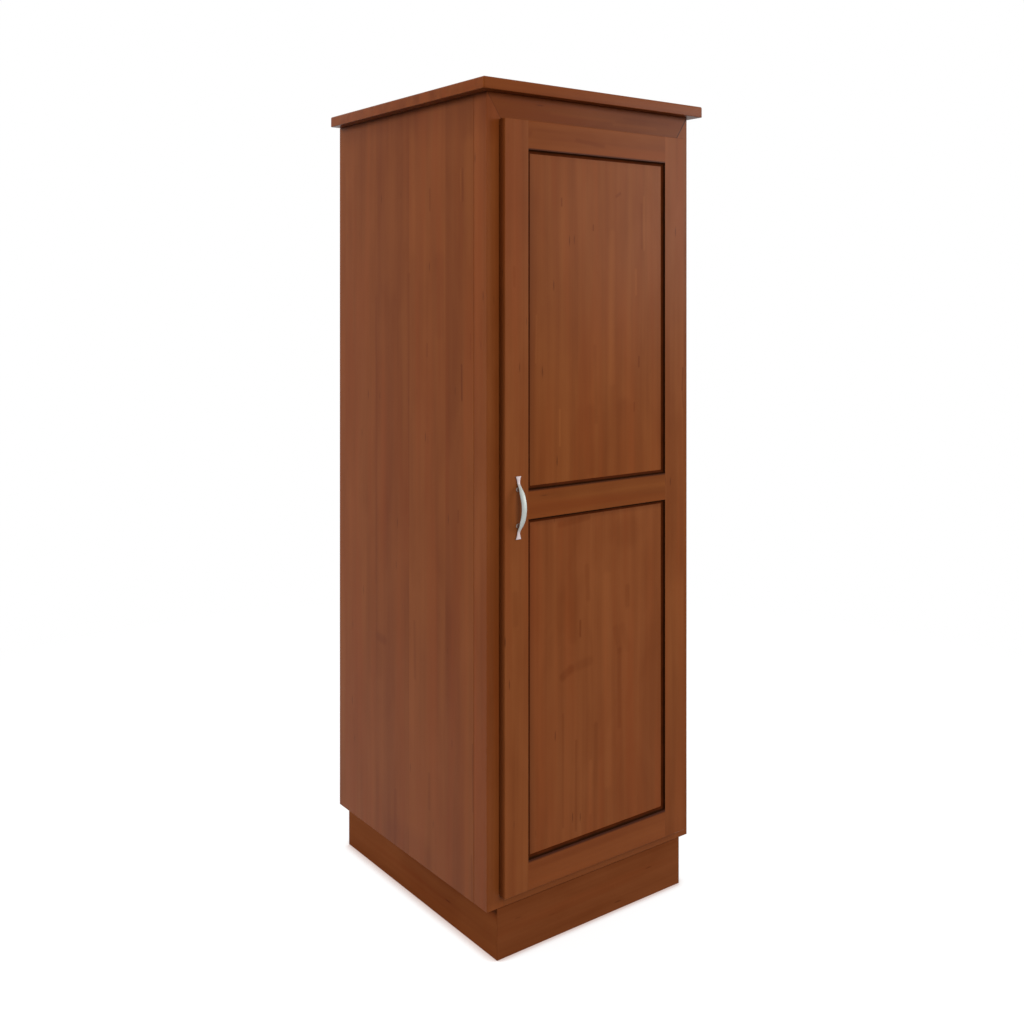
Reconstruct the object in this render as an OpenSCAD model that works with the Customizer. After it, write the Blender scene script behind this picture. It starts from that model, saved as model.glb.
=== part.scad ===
// Tall single-door wardrobe with a frame-and-panel door, an overhanging top and a recessed plinth.
// Millimetres. +Z is up, the door faces -Y. The origin is on the floor, under the middle of the whole piece.

/* [Case] */
// Width of the case, outside the side panels
case_w = 582; // [480:1:900]
// Depth of the case, from the face frame to the back edge
case_d = 635; // [520:1:700]
// Height of the case, from the plinth to the underside of the top
case_h = 1696; // [1500:1:2000]
// Thickness of the side, bottom and shelf boards
board_t = 19; // [16:0.5:22]
// Thickness of the back panel
back_t = 6; // [4:0.5:9]
// Depth of the grooves in the side panels that hold the bottom
housing_d = 6; // [4:0.5:9]
// Width of the rebates in the side panels that hold the back panel
rebate_w = 10; // [8:0.5:12]
// Chamfer that eases the arrises of the visible boards
arris = 0.8; // [0.4:0.1:1.2]

/* [Top] */
// Thickness of the top
top_t = 25; // [19:0.5:38]
// How far the top stands out at the front and at both sides
top_overhang = 26; // [10:1:45]
// Radius of the top's upper edge
top_round = 4; // [2:0.5:8]
// Radius of the top's lower edge
top_under_round = 1.5; // [1:0.5:4]

/* [Plinth] */
// Height of the plinth
plinth_h = 108; // [70:1:150]
// How far the plinth is set in at both sides
plinth_inset = 26; // [22:1:40]
// Thickness of the plinth boards
plinth_t = 19; // [16:0.5:22]
// Leg of the triangular blocks in the plinth's corners
block_leg = 42; // [25:1:60]
// How far the blocks stop short of the plinth's top and bottom edges
block_short = 14; // [5:1:25]

/* [Face frame] */
// Width of the corner posts, seen from the front
post_w = 42; // [38:0.5:60]
// Depth of the corner posts, seen from the side
post_d = 47; // [40:0.5:60]
// Thickness of the face frame's rails
rail_t = 22; // [18:0.5:28]
// Height of the face frame's top rail
top_rail_h = 63.5; // [60:0.5:90]
// Height of the face frame's bottom rail
bottom_rail_h = 36; // [32:0.5:60]
// Tongue of each side panel in its post
tongue_l = 8; // [5:0.5:12]
// Thickness of that tongue
tongue_t = 7; // [5:0.5:9]

/* [Inside] */
// Width of the stretchers under the top
stretcher_w = 90; // [60:1:130]
// Height of the wall rail at the top of the back
wall_rail_h = 90; // [60:1:130]
// Width of the bearers under the bottom
bearer_w = 45; // [42:1:80]
// Distance between the holes of the wall rail
wall_hole_pitch = 400; // [200:1:440]
// Radius of the holes of the wall rail
wall_hole_r = 2.75; // [2:0.05:4]
// Height of the hat shelf's upper face above the floor
shelf_z = 1490; // [1300:1:1550]
// Distance of the shelf's front edge behind the face frame
shelf_setback = 150; // [80:1:200]
// Depth of the shelf's nosing
nosing_d = 20; // [12:1:30]
// Height of the shelf's nosing
nosing_h = 32; // [22:1:50]
// Height of the cleats that carry the shelf and the rod
cleat_h = 90; // [80:1:120]

/* [Clothes rod] */
// Outside radius of the rod
rod_r = 16; // [12:0.5:18]
// Wall of the rod
rod_wall = 1.5; // [1:0.1:2.5]
// Distance of the rod's centre under the shelf
rod_drop = 47; // [40:1:50]
// Radius of the sockets' flanges
flange_r = 29; // [26:0.5:32]
// Thickness of the sockets' flanges
flange_t = 4; // [2.5:0.5:6]
// Wall of the sockets' collars
collar_wall = 3; // [2:0.5:4]
// Depth of the sockets' collars
collar_d = 14; // [8:1:20]
// Gap between the rod and its sockets, all round and at the ends
rod_gap = 0.4; // [0.2:0.1:1]

/* [Door] */
// Reveal of the face frame at the door's left and right
door_reveal_side = 31; // [28:0.5:34]
// Reveal of the face frame above the door
door_reveal_top = 54.5; // [46:0.5:57]
// Reveal of the face frame below the door
door_reveal_bottom = 26.5; // [20:0.5:29]
// Thickness of the door
door_t = 18; // [17:0.5:22]
// Gap between the door's back and the face frame
door_gap = 3; // [2:0.1:4]
// Width of the door's stiles
stile_w = 61; // [56:0.5:80]
// Width of the door's top and middle rails
door_rail_w = 61; // [50:0.5:90]
// Width of the door's bottom rail
door_bottom_rail_w = 63.5; // [50:0.5:110]
// Thickness of the door's panels
panel_t = 6; // [4:0.5:7]
// Depth of the grooves that hold the panels
groove_d = 10; // [6:0.5:12]
// Room for each panel to move in its grooves
panel_float = 1; // [0.5:0.1:3]
// Depth of the panels' faces behind the door's face
panel_recess = 5.5; // [4:0.5:6.5]
// Width of the bead round each panel
bead_w = 8; // [5:0.5:14]
// Flat left on both edges of the bead
bead_land = 0.8; // [0.5:0.1:1.5]
// Radius of the bead's hollow
bead_cove_r = 7; // [6.5:0.5:14]

/* [Pull] */
// Overall length of the pull
pull_l = 131; // [120:1:180]
// Distance between the pull's posts
pull_pitch = 76; // [64:1:84]
// Distance of the pull's centre from the door's left edge
pull_x = 33.5; // [25:0.5:40]
// Distance of the pull's centre below the middle rail's
pull_drop = 3; // [0:0.5:20]
// Span of the pull's arch, from neck to neck
arch_span = 100; // [92:1:116]
// Rise of the arch
arch_rise = 20; // [15:0.5:30]
// Width of the pull at its middle
grip_w = 12.5; // [9:0.5:18]
// Thickness of the pull at its middle
grip_t = 6; // [4:0.5:9]
// Width of the pull at its necks
neck_w = 7; // [6:0.5:9]
// Width of the pull's feet at their ends
foot_w = 14.5; // [10:0.5:22]
// Thickness of the pull's feet
foot_t = 3.6; // [2.5:0.1:5]
// Radius of the pull's posts
pull_post_r = 4; // [3.5:0.1:5]
// Radius of the pull's screws
pull_screw_r = 2; // [1.5:0.1:2.5]

/* [Hinges] */
// Height of each hinge
hinge_h = 64; // [50:1:90]
// Distance of the outer hinges' centres from the door's ends
hinge_inset = 112; // [70:1:200]
// Outside radius of the knuckles
knuckle_r = 3.5; // [3.2:0.1:4]
// Radius of the hinge pins
pin_r = 2; // [1.5:0.1:2.2]
// Clearance of a pin in its knuckles, on the radius
pin_clear = 0.05; // [0.02:0.01:0.09]
// Thickness of the leaves
leaf_t = 1.5; // [1.2:0.1:1.6]
// Width of the leaf on the frame, from the pin
frame_leaf_w = 12; // [11:0.5:20]
// Width of the leaf behind the door, from the pin
door_leaf_w = 40; // [30:0.5:50]
// Gap between the knuckles and the door's edge
edge_gap = 0.5; // [0.4:0.1:1]
// Gap between neighbouring knuckles
knuckle_gap = 0.3; // [0.2:0.05:0.5]

/* [Catches and bumpers] */
// Height of each magnetic catch
catch_h = 50; // [40:1:70]
// Width of each catch, out from its post
catch_w = 14; // [11:0.5:18]
// Depth of each catch
catch_d = 16; // [12:0.5:22]
// Thickness of the catches' strike plates
strike_t = 1.2; // [0.8:0.1:1.4]
// Distance of the catches' centres from the door's ends
catch_inset = 170; // [120:1:300]
// Radius of the door's bumpers
bumper_r = 4; // [3:0.1:4.5]

/* [Screws] */
// Radius of the wood screws
screw_r = 1.75; // [1.4:0.05:2]
// Clearance of a screw in its hole, on the radius
screw_clear = 0.05; // [0.03:0.01:0.15]
// Radius of the wood screws' heads
screw_head_r = 3.2; // [2.8:0.1:3.5]
// Height of the wood screws' heads
screw_head_h = 1.2; // [1:0.1:1.2]

/* [Hidden] */

wood = [0.49, 0.27, 0.165];
inner_wood = [0.60, 0.42, 0.28];
dark_stain = [0.22, 0.08, 0.02];
nickel = [0.80, 0.79, 0.76];
steel = [0.62, 0.62, 0.63];
plastic = [0.25, 0.17, 0.12];
felt = [0.75, 0.72, 0.68];

// Faces of the case, from the one that everything else is set out from
neck_blend = 0.08;
foot_gap = 0.1;
pull_reach = foot_gap + foot_t / 2 + arch(0) + grip_t / 2;
front = (door_gap + door_t + pull_reach - case_d) / 2;
back = front + case_d;
side = case_w / 2;
inside = side - board_t;
opening = side - post_w;
floor_z = plinth_h;
ceiling_z = plinth_h + case_h;
deck_z = floor_z + bottom_rail_h;
back_inner = back - back_t;
post_back = front + post_d;
rail_back = front + rail_t;
bearer_h = bottom_rail_h - board_t;

// Faces of the door
door_left = -side + door_reveal_side;
door_right = side - door_reveal_side;
door_low = floor_z + door_reveal_bottom;
door_high = ceiling_z - door_reveal_top;
door_back = front - door_gap;
door_face = door_back - door_t;
field_left = door_left + stile_w;
field_right = door_right - stile_w;
lower_low = door_low + door_bottom_rail_w;
upper_high = door_high - door_rail_w;
middle_z = (lower_low + upper_high) / 2;
lower_high = middle_z - door_rail_w / 2;
upper_low = middle_z + door_rail_w / 2;
panel_face = door_face + panel_recess;

// The pull, the hinges and the catches
pull_centre_x = door_left + pull_x;
pull_centre_z = middle_z - pull_drop;
pin_x = door_right + edge_gap + knuckle_r;
pin_y = front - knuckle_r - 0.3;
hinge_upper_z = door_high - hinge_inset;
hinge_lower_z = door_low + hinge_inset;
hinge_zs = [hinge_upper_z, middle_z, hinge_lower_z];
hinge_screw_dz = hinge_h / 2 - 10;
frame_screw_x = pin_x + (frame_leaf_w + knuckle_r) / 2;
door_screw_x = pin_x - door_leaf_w + 8;
knuckle_count = 5;
knuckle_h = hinge_h / knuckle_count;
catch_zs = [door_high - catch_inset, door_low + catch_inset];
catch_gap = 0.3;
strike_back = door_back + strike_t;
magnet_stand = door_gap - 0.8;
catch_front = strike_back + catch_gap + magnet_stand;

// The shelf, its cleats and the rod
shelf_front = front + shelf_setback;
shelf_low = shelf_z - board_t;
cleat_front = shelf_front + nosing_d;
cleat_inner = inside - board_t;
rod_y = (rail_back + back_inner) / 2;
rod_z = shelf_low - rod_drop;
rod_half = cleat_inner - flange_t - rod_gap;
socket_screw_ring = (flange_r + rod_r + collar_wall + rod_gap) / 2;
screw_hole_r = screw_r + screw_clear;
cut = 1;

// A rectangle whose corners are chamfered
module eased_rect(w, h, e) {
    polygon([[e, 0], [w - e, 0], [w, e], [w, h - e], [w - e, h], [e, h], [0, h - e], [0, e]]);
}

// A board from its low corner to its high corner, with every arris eased
module board(low, high, ease = arris) {
    s = high - low;
    translate(low) intersection() {
        linear_extrude(s.z) eased_rect(s.x, s.y, ease);
        translate([0, s.y, 0]) rotate([90, 0, 0]) linear_extrude(s.y) eased_rect(s.x, s.z, ease);
        rotate([90, 0, 90]) linear_extrude(s.x) eased_rect(s.y, s.z, ease);
    }
}

// A plain block from its low corner to its high corner
module block(low, high) {
    translate(low) cube(high - low);
}

// Turns a shape made along +Z so that it points along +X, -X, +Y or -Y
module along_x() { rotate([0, 90, 0]) children(); }
module along_minus_x() { rotate([0, -90, 0]) children(); }
module along_y() { rotate([-90, 0, 0]) children(); }
module along_minus_y() { rotate([90, 0, 0]) children(); }

// A copy on the other side of the middle
module mirrored(right) {
    if (right) mirror([1, 0, 0]) children();
    else children();
}

// A flat-headed wood screw, its head's face at z = 0 and its shank along +Z
module wood_screw(l) {
    cylinder(h = screw_head_h, r1 = screw_head_r - screw_clear, r2 = screw_r, $fn = 32);
    translate([0, 0, screw_head_h / 2]) cylinder(h = l - screw_head_h / 2 - screw_r, r = screw_r, $fn = 32);
    translate([0, 0, l - screw_r]) cylinder(h = screw_r, r1 = screw_r, r2 = 0.3, $fn = 32);
}

// The hole for that screw, with its countersink
module screw_hole(l) {
    translate([0, 0, -cut]) cylinder(h = l + cut + screw_clear, r = screw_hole_r, $fn = 32);
    translate([0, 0, -0.001]) cylinder(h = screw_head_h, r1 = screw_head_r, r2 = screw_hole_r, $fn = 32);
}

// Top

// Section of the top: a slab whose edges are rounded more above than below
module top_section(w) {
    difference() {
        square([w, top_t]);
        for (x = [0, w]) {
            translate([x - top_round, top_t - top_round]) square([2 * top_round, 2 * top_round]);
            translate([x - top_under_round, -top_under_round])
                square([2 * top_under_round, 2 * top_under_round]);
        }
    }
    for (x = [top_round, w - top_round])
        translate([x, top_t - top_round]) circle(top_round, $fn = 48);
    for (x = [top_under_round, w - top_under_round])
        translate([x, top_under_round]) circle(top_under_round, $fn = 48);
}

top_w = case_w + 2 * top_overhang;
top_d = case_d + top_overhang;
top_screw_l = 36;
top_screw_x = inside - 60;
top_screw_ys = [rail_back + stretcher_w / 2, back_inner - stretcher_w / 2];

module top_panel() {
    color(wood) difference() {
        translate([-top_w / 2, front - top_overhang, ceiling_z]) intersection() {
            translate([0, top_d, 0]) rotate([90, 0, 0]) linear_extrude(top_d) top_section(top_w);
            rotate([90, 0, 90]) linear_extrude(top_w) top_section(top_d);
            linear_extrude(top_t) eased_rect(top_w, top_d, arris);
        }
        top_screw_places() screw_hole(top_screw_l);
    }
}

module top_screw_places() {
    for (x = [-top_screw_x, top_screw_x], y = top_screw_ys)
        translate([x, y, ceiling_z - board_t]) children();
}

module top_screws() {
    color(steel) top_screw_places() wood_screw(top_screw_l);
}

// Case

module side_panel(right) {
    color(wood) mirrored(right) difference() {
        union() {
            board([-side, post_back, floor_z], [-inside, back, ceiling_z]);
            block([-side + tongue_in, post_back - tongue_l, floor_z + tongue_stop],
                  [-side + tongue_in + tongue_t, post_back + 2 * arris, ceiling_z - tongue_stop]);
        }
        block([-inside - housing_d, post_back - cut, deck_z - board_t], [-inside + cut, back_inner, deck_z]);
        block([-inside - rebate_w, back_inner, floor_z - cut], [-inside + cut, back + cut, ceiling_z + cut]);
        cleat_screw_places() screw_hole(cleat_screw_l);
        back_screw_side_places() screw_hole(back_screw_l);
    }
}

tongue_in = (board_t - tongue_t) / 2;
tongue_stop = 30;

module left_side_panel() { side_panel(false); }
module right_side_panel() { side_panel(true); }

module back_panel() {
    color(inner_wood) difference() {
        block([-inside - rebate_w, back_inner, floor_z], [inside + rebate_w, back, ceiling_z]);
        wall_hole_places() cylinder(h = back_t + 2 * cut, r = wall_hole_r, $fn = 32);
        back_screw_places() screw_hole(back_screw_l);
    }
}

back_screw_l = 12;
back_screw_edge = rebate_w / 2;
back_screw_zs = [for (i = [0:5]) floor_z + 60 + i * (case_h - 120) / 5];
back_screw_xs = [-inside / 3, inside / 3];

module back_screw_side_places() {
    for (z = back_screw_zs) translate([-inside - back_screw_edge, back, z]) along_minus_y() children();
}

module back_screw_rail_places() {
    for (x = back_screw_xs) translate([x, back, ceiling_z - board_t / 2]) along_minus_y() children();
}

module back_screw_deck_places() {
    for (x = back_screw_xs) translate([x, back, deck_z - board_t / 2]) along_minus_y() children();
}

module back_screw_places() {
    back_screw_side_places() children();
    mirrored(true) back_screw_side_places() children();
    back_screw_rail_places() children();
    back_screw_deck_places() children();
}

module back_panel_screws() {
    color(steel) back_screw_places() wood_screw(back_screw_l);
}

module bottom_panel() {
    color(inner_wood) difference() {
        union() {
            block([-inside - housing_d, post_back, deck_z - board_t], [inside + housing_d, back_inner, deck_z]);
            block([-opening, rail_back, deck_z - board_t], [opening, post_back + cut, deck_z]);
        }
        back_screw_deck_places() screw_hole(back_screw_l);
    }
}

module base_bearer(right) {
    color(inner_wood) mirrored(right)
        block([-inside, post_back, floor_z], [-inside + bearer_w, back_inner, floor_z + bearer_h]);
}

module base_bearer_left() { base_bearer(false); }
module base_bearer_right() { base_bearer(true); }

// Face frame

// Outline of the top rail, seen from the front: its mitres run from the case's top corners
module top_rail_outline() {
    polygon([[-side, ceiling_z], [side, ceiling_z], [opening, ceiling_z - top_rail_h],
             [-opening, ceiling_z - top_rail_h]]);
}

// The whole front of the case, whose arrises are eased and whose joints are flush
module frame_blank() {
    board([-side, front, floor_z], [side, post_back, ceiling_z]);
}

// The space that the top rail fills between the posts
module top_rail_blank(y0, y1) {
    translate([0, y1, 0]) rotate([90, 0, 0]) linear_extrude(y1 - y0) top_rail_outline();
}

module frame_post(right) {
    color(wood) difference() {
        mirrored(right) difference() {
            intersection() {
                frame_blank();
                block([-side, front, floor_z], [-opening, post_back, ceiling_z]);
            }
            block([-side + tongue_in, post_back - tongue_l, floor_z + tongue_stop],
                  [-side + tongue_in + tongue_t, post_back + cut, ceiling_z - tongue_stop]);
        }
        top_rail_blank(front - cut, rail_back);
        if (right) hinge_frame_screw_places() translate([0, 0, -leaf_t]) screw_hole(hinge_frame_screw_l);
        else catch_screw_places() screw_hole(catch_screw_l);
    }
}

module frame_post_left() { frame_post(false); }
module frame_post_right() { frame_post(true); }

module frame_top_rail() {
    color(wood) intersection() {
        frame_blank();
        top_rail_blank(front, rail_back);
    }
}

module frame_bottom_rail() {
    color(wood) intersection() {
        frame_blank();
        block([-opening, front, floor_z], [opening, rail_back, deck_z]);
    }
}

// Stretchers and the wall rail

module top_stretcher_front() {
    color(inner_wood) difference() {
        union() {
            block([-opening, rail_back, ceiling_z - board_t], [opening, rail_back + stretcher_w, ceiling_z]);
            block([-inside, post_back, ceiling_z - board_t], [inside, rail_back + stretcher_w, ceiling_z]);
        }
        top_screw_places() screw_hole(top_screw_l);
    }
}

module top_stretcher_back() {
    color(inner_wood) difference() {
        block([-inside, back_inner - stretcher_w, ceiling_z - board_t], [inside, back_inner, ceiling_z]);
        top_screw_places() screw_hole(top_screw_l);
        back_screw_rail_places() screw_hole(back_screw_l);
    }
}

wall_rail_high = ceiling_z - board_t;

module wall_hole_places() {
    for (x = [-wall_hole_pitch / 2, wall_hole_pitch / 2])
        translate([x, back + cut, wall_rail_high - wall_rail_h / 2]) along_minus_y() children();
}

module wall_rail() {
    color(inner_wood) difference() {
        block([-inside, back_inner - board_t, wall_rail_high - wall_rail_h], [inside, back_inner, wall_rail_high]);
        wall_hole_places() cylinder(h = back_t + board_t + 2 * cut, r = wall_hole_r, $fn = 32);
    }
}

// Plinth

plinth_side = side - plinth_inset;

module plinth_front() {
    color(wood) intersection() {
        linear_extrude(plinth_h) polygon([[-plinth_side, front], [plinth_side, front],
            [plinth_side - plinth_t, front + plinth_t], [-plinth_side + plinth_t, front + plinth_t]]);
        board([-plinth_side, front, 0], [plinth_side, front + plinth_t, plinth_h]);
    }
}

module plinth_side_board(right) {
    color(wood) mirrored(right) intersection() {
        linear_extrude(plinth_h) polygon([[-plinth_side, front], [-plinth_side + plinth_t, front + plinth_t],
            [-plinth_side + plinth_t, back], [-plinth_side, back]]);
        board([-plinth_side, front, 0], [-plinth_side + plinth_t, back, plinth_h]);
    }
}

module plinth_left() { plinth_side_board(false); }
module plinth_right() { plinth_side_board(true); }

module plinth_back() {
    color(wood) block([-plinth_side + plinth_t, back - plinth_t, 0], [plinth_side - plinth_t, back, plinth_h]);
}

// A triangular block in a corner of the plinth
module plinth_block(right, rear) {
    corner_y = rear ? back - plinth_t : front + plinth_t;
    leg_y = rear ? -block_leg : block_leg;
    color(inner_wood) mirrored(right) translate([-plinth_side + plinth_t, corner_y, block_short])
        linear_extrude(plinth_h - 2 * block_short) polygon([[0, 0], [block_leg, 0], [0, leg_y]]);
}

module plinth_block_front_left() { plinth_block(false, false); }
module plinth_block_front_right() { plinth_block(true, false); }
module plinth_block_back_left() { plinth_block(false, true); }
module plinth_block_back_right() { plinth_block(true, true); }

// Shelf and cleats

module hat_shelf() {
    color(inner_wood) block([-inside, cleat_front, shelf_low], [inside, back_inner, shelf_z]);
}

module shelf_nosing() {
    color(wood) board([-inside, shelf_front, shelf_z - nosing_h], [inside, cleat_front, shelf_z]);
}

cleat_screw_l = 32;
cleat_screw_ys = [cleat_front + 40, back_inner - 40];

module cleat_screw_places() {
    for (y = cleat_screw_ys) translate([-cleat_inner, y, shelf_low - cleat_h / 2]) along_minus_x() children();
}

module cleat_screws() {
    color(steel) {
        cleat_screw_places() wood_screw(cleat_screw_l);
        mirrored(true) cleat_screw_places() wood_screw(cleat_screw_l);
    }
}

module shelf_cleat(right) {
    color(inner_wood) mirrored(right) difference() {
        block([-inside, cleat_front, shelf_low - cleat_h], [-cleat_inner, back_inner, shelf_low]);
        cleat_screw_places() screw_hole(cleat_screw_l);
        socket_screw_places() translate([0, 0, -cut]) cylinder(h = socket_hole_d + cut, r = screw_hole_r, $fn = 32);
    }
}

module shelf_cleat_left() { shelf_cleat(false); }
module shelf_cleat_right() { shelf_cleat(true); }

// Clothes rod and its sockets

module clothes_rod() {
    color(nickel) translate([-rod_half, rod_y, rod_z]) along_x() difference() {
        cylinder(h = 2 * rod_half, r = rod_r, $fn = 64);
        translate([0, 0, -cut]) cylinder(h = 2 * rod_half + 2 * cut, r = rod_r - rod_wall, $fn = 64);
    }
}

socket_screw_l = 18;
socket_hole_d = socket_screw_l - flange_t + screw_clear;

// Places of the three screws of the left socket, on the face of its cleat, pointing into it
module socket_screw_places() {
    for (a = [30, 150, 270]) translate([-cleat_inner, rod_y, rod_z]) along_minus_x()
        rotate([0, 0, a]) translate([socket_screw_ring, 0, 0]) children();
}

module rod_socket(right) {
    color(nickel) mirrored(right) difference() {
        translate([-cleat_inner, rod_y, rod_z]) along_x() difference() {
            union() {
                cylinder(h = flange_t, r = flange_r, $fn = 64);
                cylinder(h = flange_t + collar_d, r = rod_r + rod_gap + collar_wall, $fn = 64);
            }
            translate([0, 0, flange_t]) cylinder(h = collar_d + cut, r = rod_r + rod_gap, $fn = 64);
            if (right) translate([-flange_r - cut, -rod_r - rod_gap, flange_t])
                cube([flange_r + cut, 2 * (rod_r + rod_gap), collar_d + cut]);
        }
        socket_screw_places() translate([0, 0, -flange_t]) screw_hole(socket_screw_l);
    }
}

module rod_socket_left() { rod_socket(false); }
module rod_socket_right() { rod_socket(true); }

module rod_socket_screws() {
    color(steel) {
        socket_screw_places() translate([0, 0, -flange_t]) wood_screw(socket_screw_l);
        mirrored(true) socket_screw_places() translate([0, 0, -flange_t]) wood_screw(socket_screw_l);
    }
}

// Door frame

tenon_front = panel_face;
tenon_back = panel_face + panel_t;

// The part of the door between two corners, eased only along the door's own outline
module door_member(left, right, low, high) {
    intersection() {
        board([door_left, door_face, door_low], [door_right, door_back, door_high]);
        block([left, door_face, low], [right, door_back, high]);
    }
}

module door_stile_left() {
    color(wood) difference() {
        door_member(door_left, field_left, door_low, door_high);
        block([field_left - groove_d, tenon_front, door_low - cut], [field_left + cut, tenon_back, door_high + cut]);
        pull_post_places() cylinder(h = door_t + cut, r = pull_screw_r + screw_clear, $fn = 32);
        strike_screw_places() screw_hole(strike_screw_l);
    }
}

module door_stile_right() {
    color(wood) difference() {
        door_member(field_right, door_right, door_low, door_high);
        block([field_right - cut, tenon_front, door_low - cut],
              [field_right + groove_d, tenon_back, door_high + cut]);
        hinge_door_screw_places() translate([0, 0, -leaf_t]) screw_hole(hinge_door_screw_l);
    }
}

// A rail between the stiles, with a tenon at each end and grooves where it holds a panel
module door_rail(low, high, groove_below, groove_above) {
    color(wood) difference() {
        union() {
            door_member(field_left, field_right, low, high);
            block([field_left - groove_d, tenon_front, low], [field_right + groove_d, tenon_back, high]);
        }
        if (groove_below) block([field_left - groove_d - cut, tenon_front, low - cut],
                                [field_right + groove_d + cut, tenon_back, low + groove_d]);
        if (groove_above) block([field_left - groove_d - cut, tenon_front, high - groove_d],
                                [field_right + groove_d + cut, tenon_back, high + cut]);
    }
}

module door_top_rail() { door_rail(upper_high, door_high, true, false); }
module door_middle_rail() { door_rail(lower_high, upper_low, true, true); }
module door_bottom_rail() { door_rail(door_low, lower_low, false, true); }

panel_in = groove_d - panel_float;

module door_panel(low, high) {
    color(wood) block([field_left - panel_in, tenon_front, low - panel_in],
                      [field_right + panel_in, tenon_back, high + panel_in]);
}

module door_panel_upper() { door_panel(upper_low, upper_high); }
module door_panel_lower() { door_panel(lower_low, lower_high); }

// Section of the bead: x runs in from the frame's edge, y runs back from the door's face. Its front is
// hollowed by a circle through the inner ends of its two lands.
module bead_section() {
    a = [bead_land, 0];
    b = [bead_w, panel_recess - bead_land];
    half = norm(b - a) / 2;
    toward = [b.y - a.y, a.x - b.x] / (2 * half);
    centre = (a + b) / 2 + toward * sqrt(bead_cove_r * bead_cove_r - half * half);
    difference() {
        polygon([[0, 0], a, b, [bead_w, panel_recess], [0, panel_recess]]);
        translate(centre) circle(bead_cove_r, $fn = 96);
    }
}

mitre_gap = 0.05;

// One side of a bead, along +X from a corner at the origin, mitred at both ends
module bead_strip(l) {
    intersection() {
        rotate([90, 0, 90]) linear_extrude(l) mirror([1, -1, 0]) bead_section();
        translate([0, panel_recess, 0]) rotate([90, 0, 0]) linear_extrude(panel_recess)
            polygon([[mitre_gap, 0], [l - mitre_gap, 0], [l - bead_w - mitre_gap, bead_w],
                     [bead_w + mitre_gap, bead_w]]);
    }
}

module panel_bead(low, high) {
    w = field_right - field_left;
    h = high - low;
    color(dark_stain) translate([field_left, door_face, low]) {
        bead_strip(w);
        translate([w, 0, h]) rotate([0, 180, 0]) bead_strip(w);
        translate([0, 0, h]) rotate([0, 90, 0]) bead_strip(h);
        translate([w, 0, 0]) rotate([0, -90, 0]) bead_strip(h);
    }
}

module panel_bead_upper() { panel_bead(upper_low, upper_high); }
module panel_bead_lower() { panel_bead(lower_low, lower_high); }

// Pull

ring_count = 32;
ring_sides = 20;
foot_l = (pull_l - arch_span) / 2;

// Height of the pull's centre line over its feet, at distance a from the middle: a parabola between
// the necks that runs smoothly into the flat feet
function arch(a) = let (u = 1 - pow(2 * a / arch_span, 2))
    arch_rise * (u + sqrt(u * u + neck_blend * neck_blend)) / 2;
function arch_slope(z) = (arch(abs(z + 0.01)) - arch(abs(z - 0.01))) / 0.02;

// A smooth step from 0 to 1
function ease_step(t) = let (c = max(0, min(1, t))) c * c * (3 - 2 * c);

// Width and thickness of the pull at distance a from the middle
function pull_width(a) = let (flare = max(0, (a - arch_span / 2) / foot_l))
    neck_w + (grip_w - neck_w) * ease_step((arch_span / 2 - a) / (arch_span / 4))
    + (foot_w - neck_w) * pow(flare, 2.2);
function pull_thick(a) = foot_t + (grip_t - foot_t) * ease_step((arch_span / 2 - a) / (arch_span / 3));

// One ring of points round the centre line, square to it: x across, y out from the door, z along
function pull_ring(z) = let (a = abs(z), s = arch_slope(z), n = sqrt(1 + s * s))
    [for (k = [0:ring_sides - 1]) let (phi = 360 * k / ring_sides, t = pull_thick(a) / 2 * sin(phi))
        [pull_width(a) / 2 * cos(phi), -(foot_t / 2 + arch(a) + t / n), z - t * s / n]];

// Rings lie closer together at the feet, which flare
function ring_place(i) = let (u = 2 * i / ring_count - 1) pull_l / 2 * (u * 1.25 - u * u * u * 0.25);

module pull_bow() {
    rings = [for (i = [0:ring_count]) pull_ring(ring_place(i))];
    sides = [for (i = [0:ring_count - 1], k = [0:ring_sides - 1])
        let (a = i * ring_sides + k, b = i * ring_sides + (k + 1) % ring_sides)
        each [[a, b, a + ring_sides], [b, b + ring_sides, a + ring_sides]]];
    last = ring_count * ring_sides;
    polyhedron(points = [for (r = rings) each r],
               faces = concat(sides, [[for (k = [ring_sides - 1:-1:0]) k]],
                              [[for (k = [0:ring_sides - 1]) last + k]]));
}

// Places of the pull's posts on the door's face, pointing into the door
module pull_post_places() {
    for (s = [-1, 1]) translate([pull_centre_x, door_face, pull_centre_z + s * pull_pitch / 2])
        along_y() children();
}

pull_post_h = foot_t / 2 + arch(pull_pitch / 2);
pull_tap_d = pull_post_h - 1.5;

module pull_handle() {
    color(nickel) difference() {
        union() {
            translate([pull_centre_x, door_face - foot_gap, pull_centre_z]) pull_bow();
            pull_post_places() translate([0, 0, -pull_post_h]) cylinder(h = pull_post_h, r = pull_post_r, $fn = 32);
        }
        pull_post_places() translate([0, 0, -pull_tap_d])
            cylinder(h = pull_tap_d + cut, r = pull_screw_r + screw_clear, $fn = 32);
    }
}

pull_head_r = 4;
pull_head_h = 2.4;

module pull_screws() {
    color(steel) pull_post_places() {
        translate([0, 0, 1 - pull_tap_d]) cylinder(h = door_t + pull_tap_d - 1 + cut, r = pull_screw_r, $fn = 32);
        translate([0, 0, door_t]) cylinder(h = pull_head_h, r1 = pull_head_r, r2 = pull_head_r - 1, $fn = 32);
    }
}

// Bumpers, catches and strikes

bumper_gap = 0.2;

module door_bumpers() {
    inset = (post_w - door_reveal_side) / 2;
    color(felt) for (z = [door_low + 12, door_high - 12])
        translate([door_left + inset, door_back, z]) along_y()
            cylinder(h = door_gap - bumper_gap, r = bumper_r, $fn = 32);
}

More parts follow.
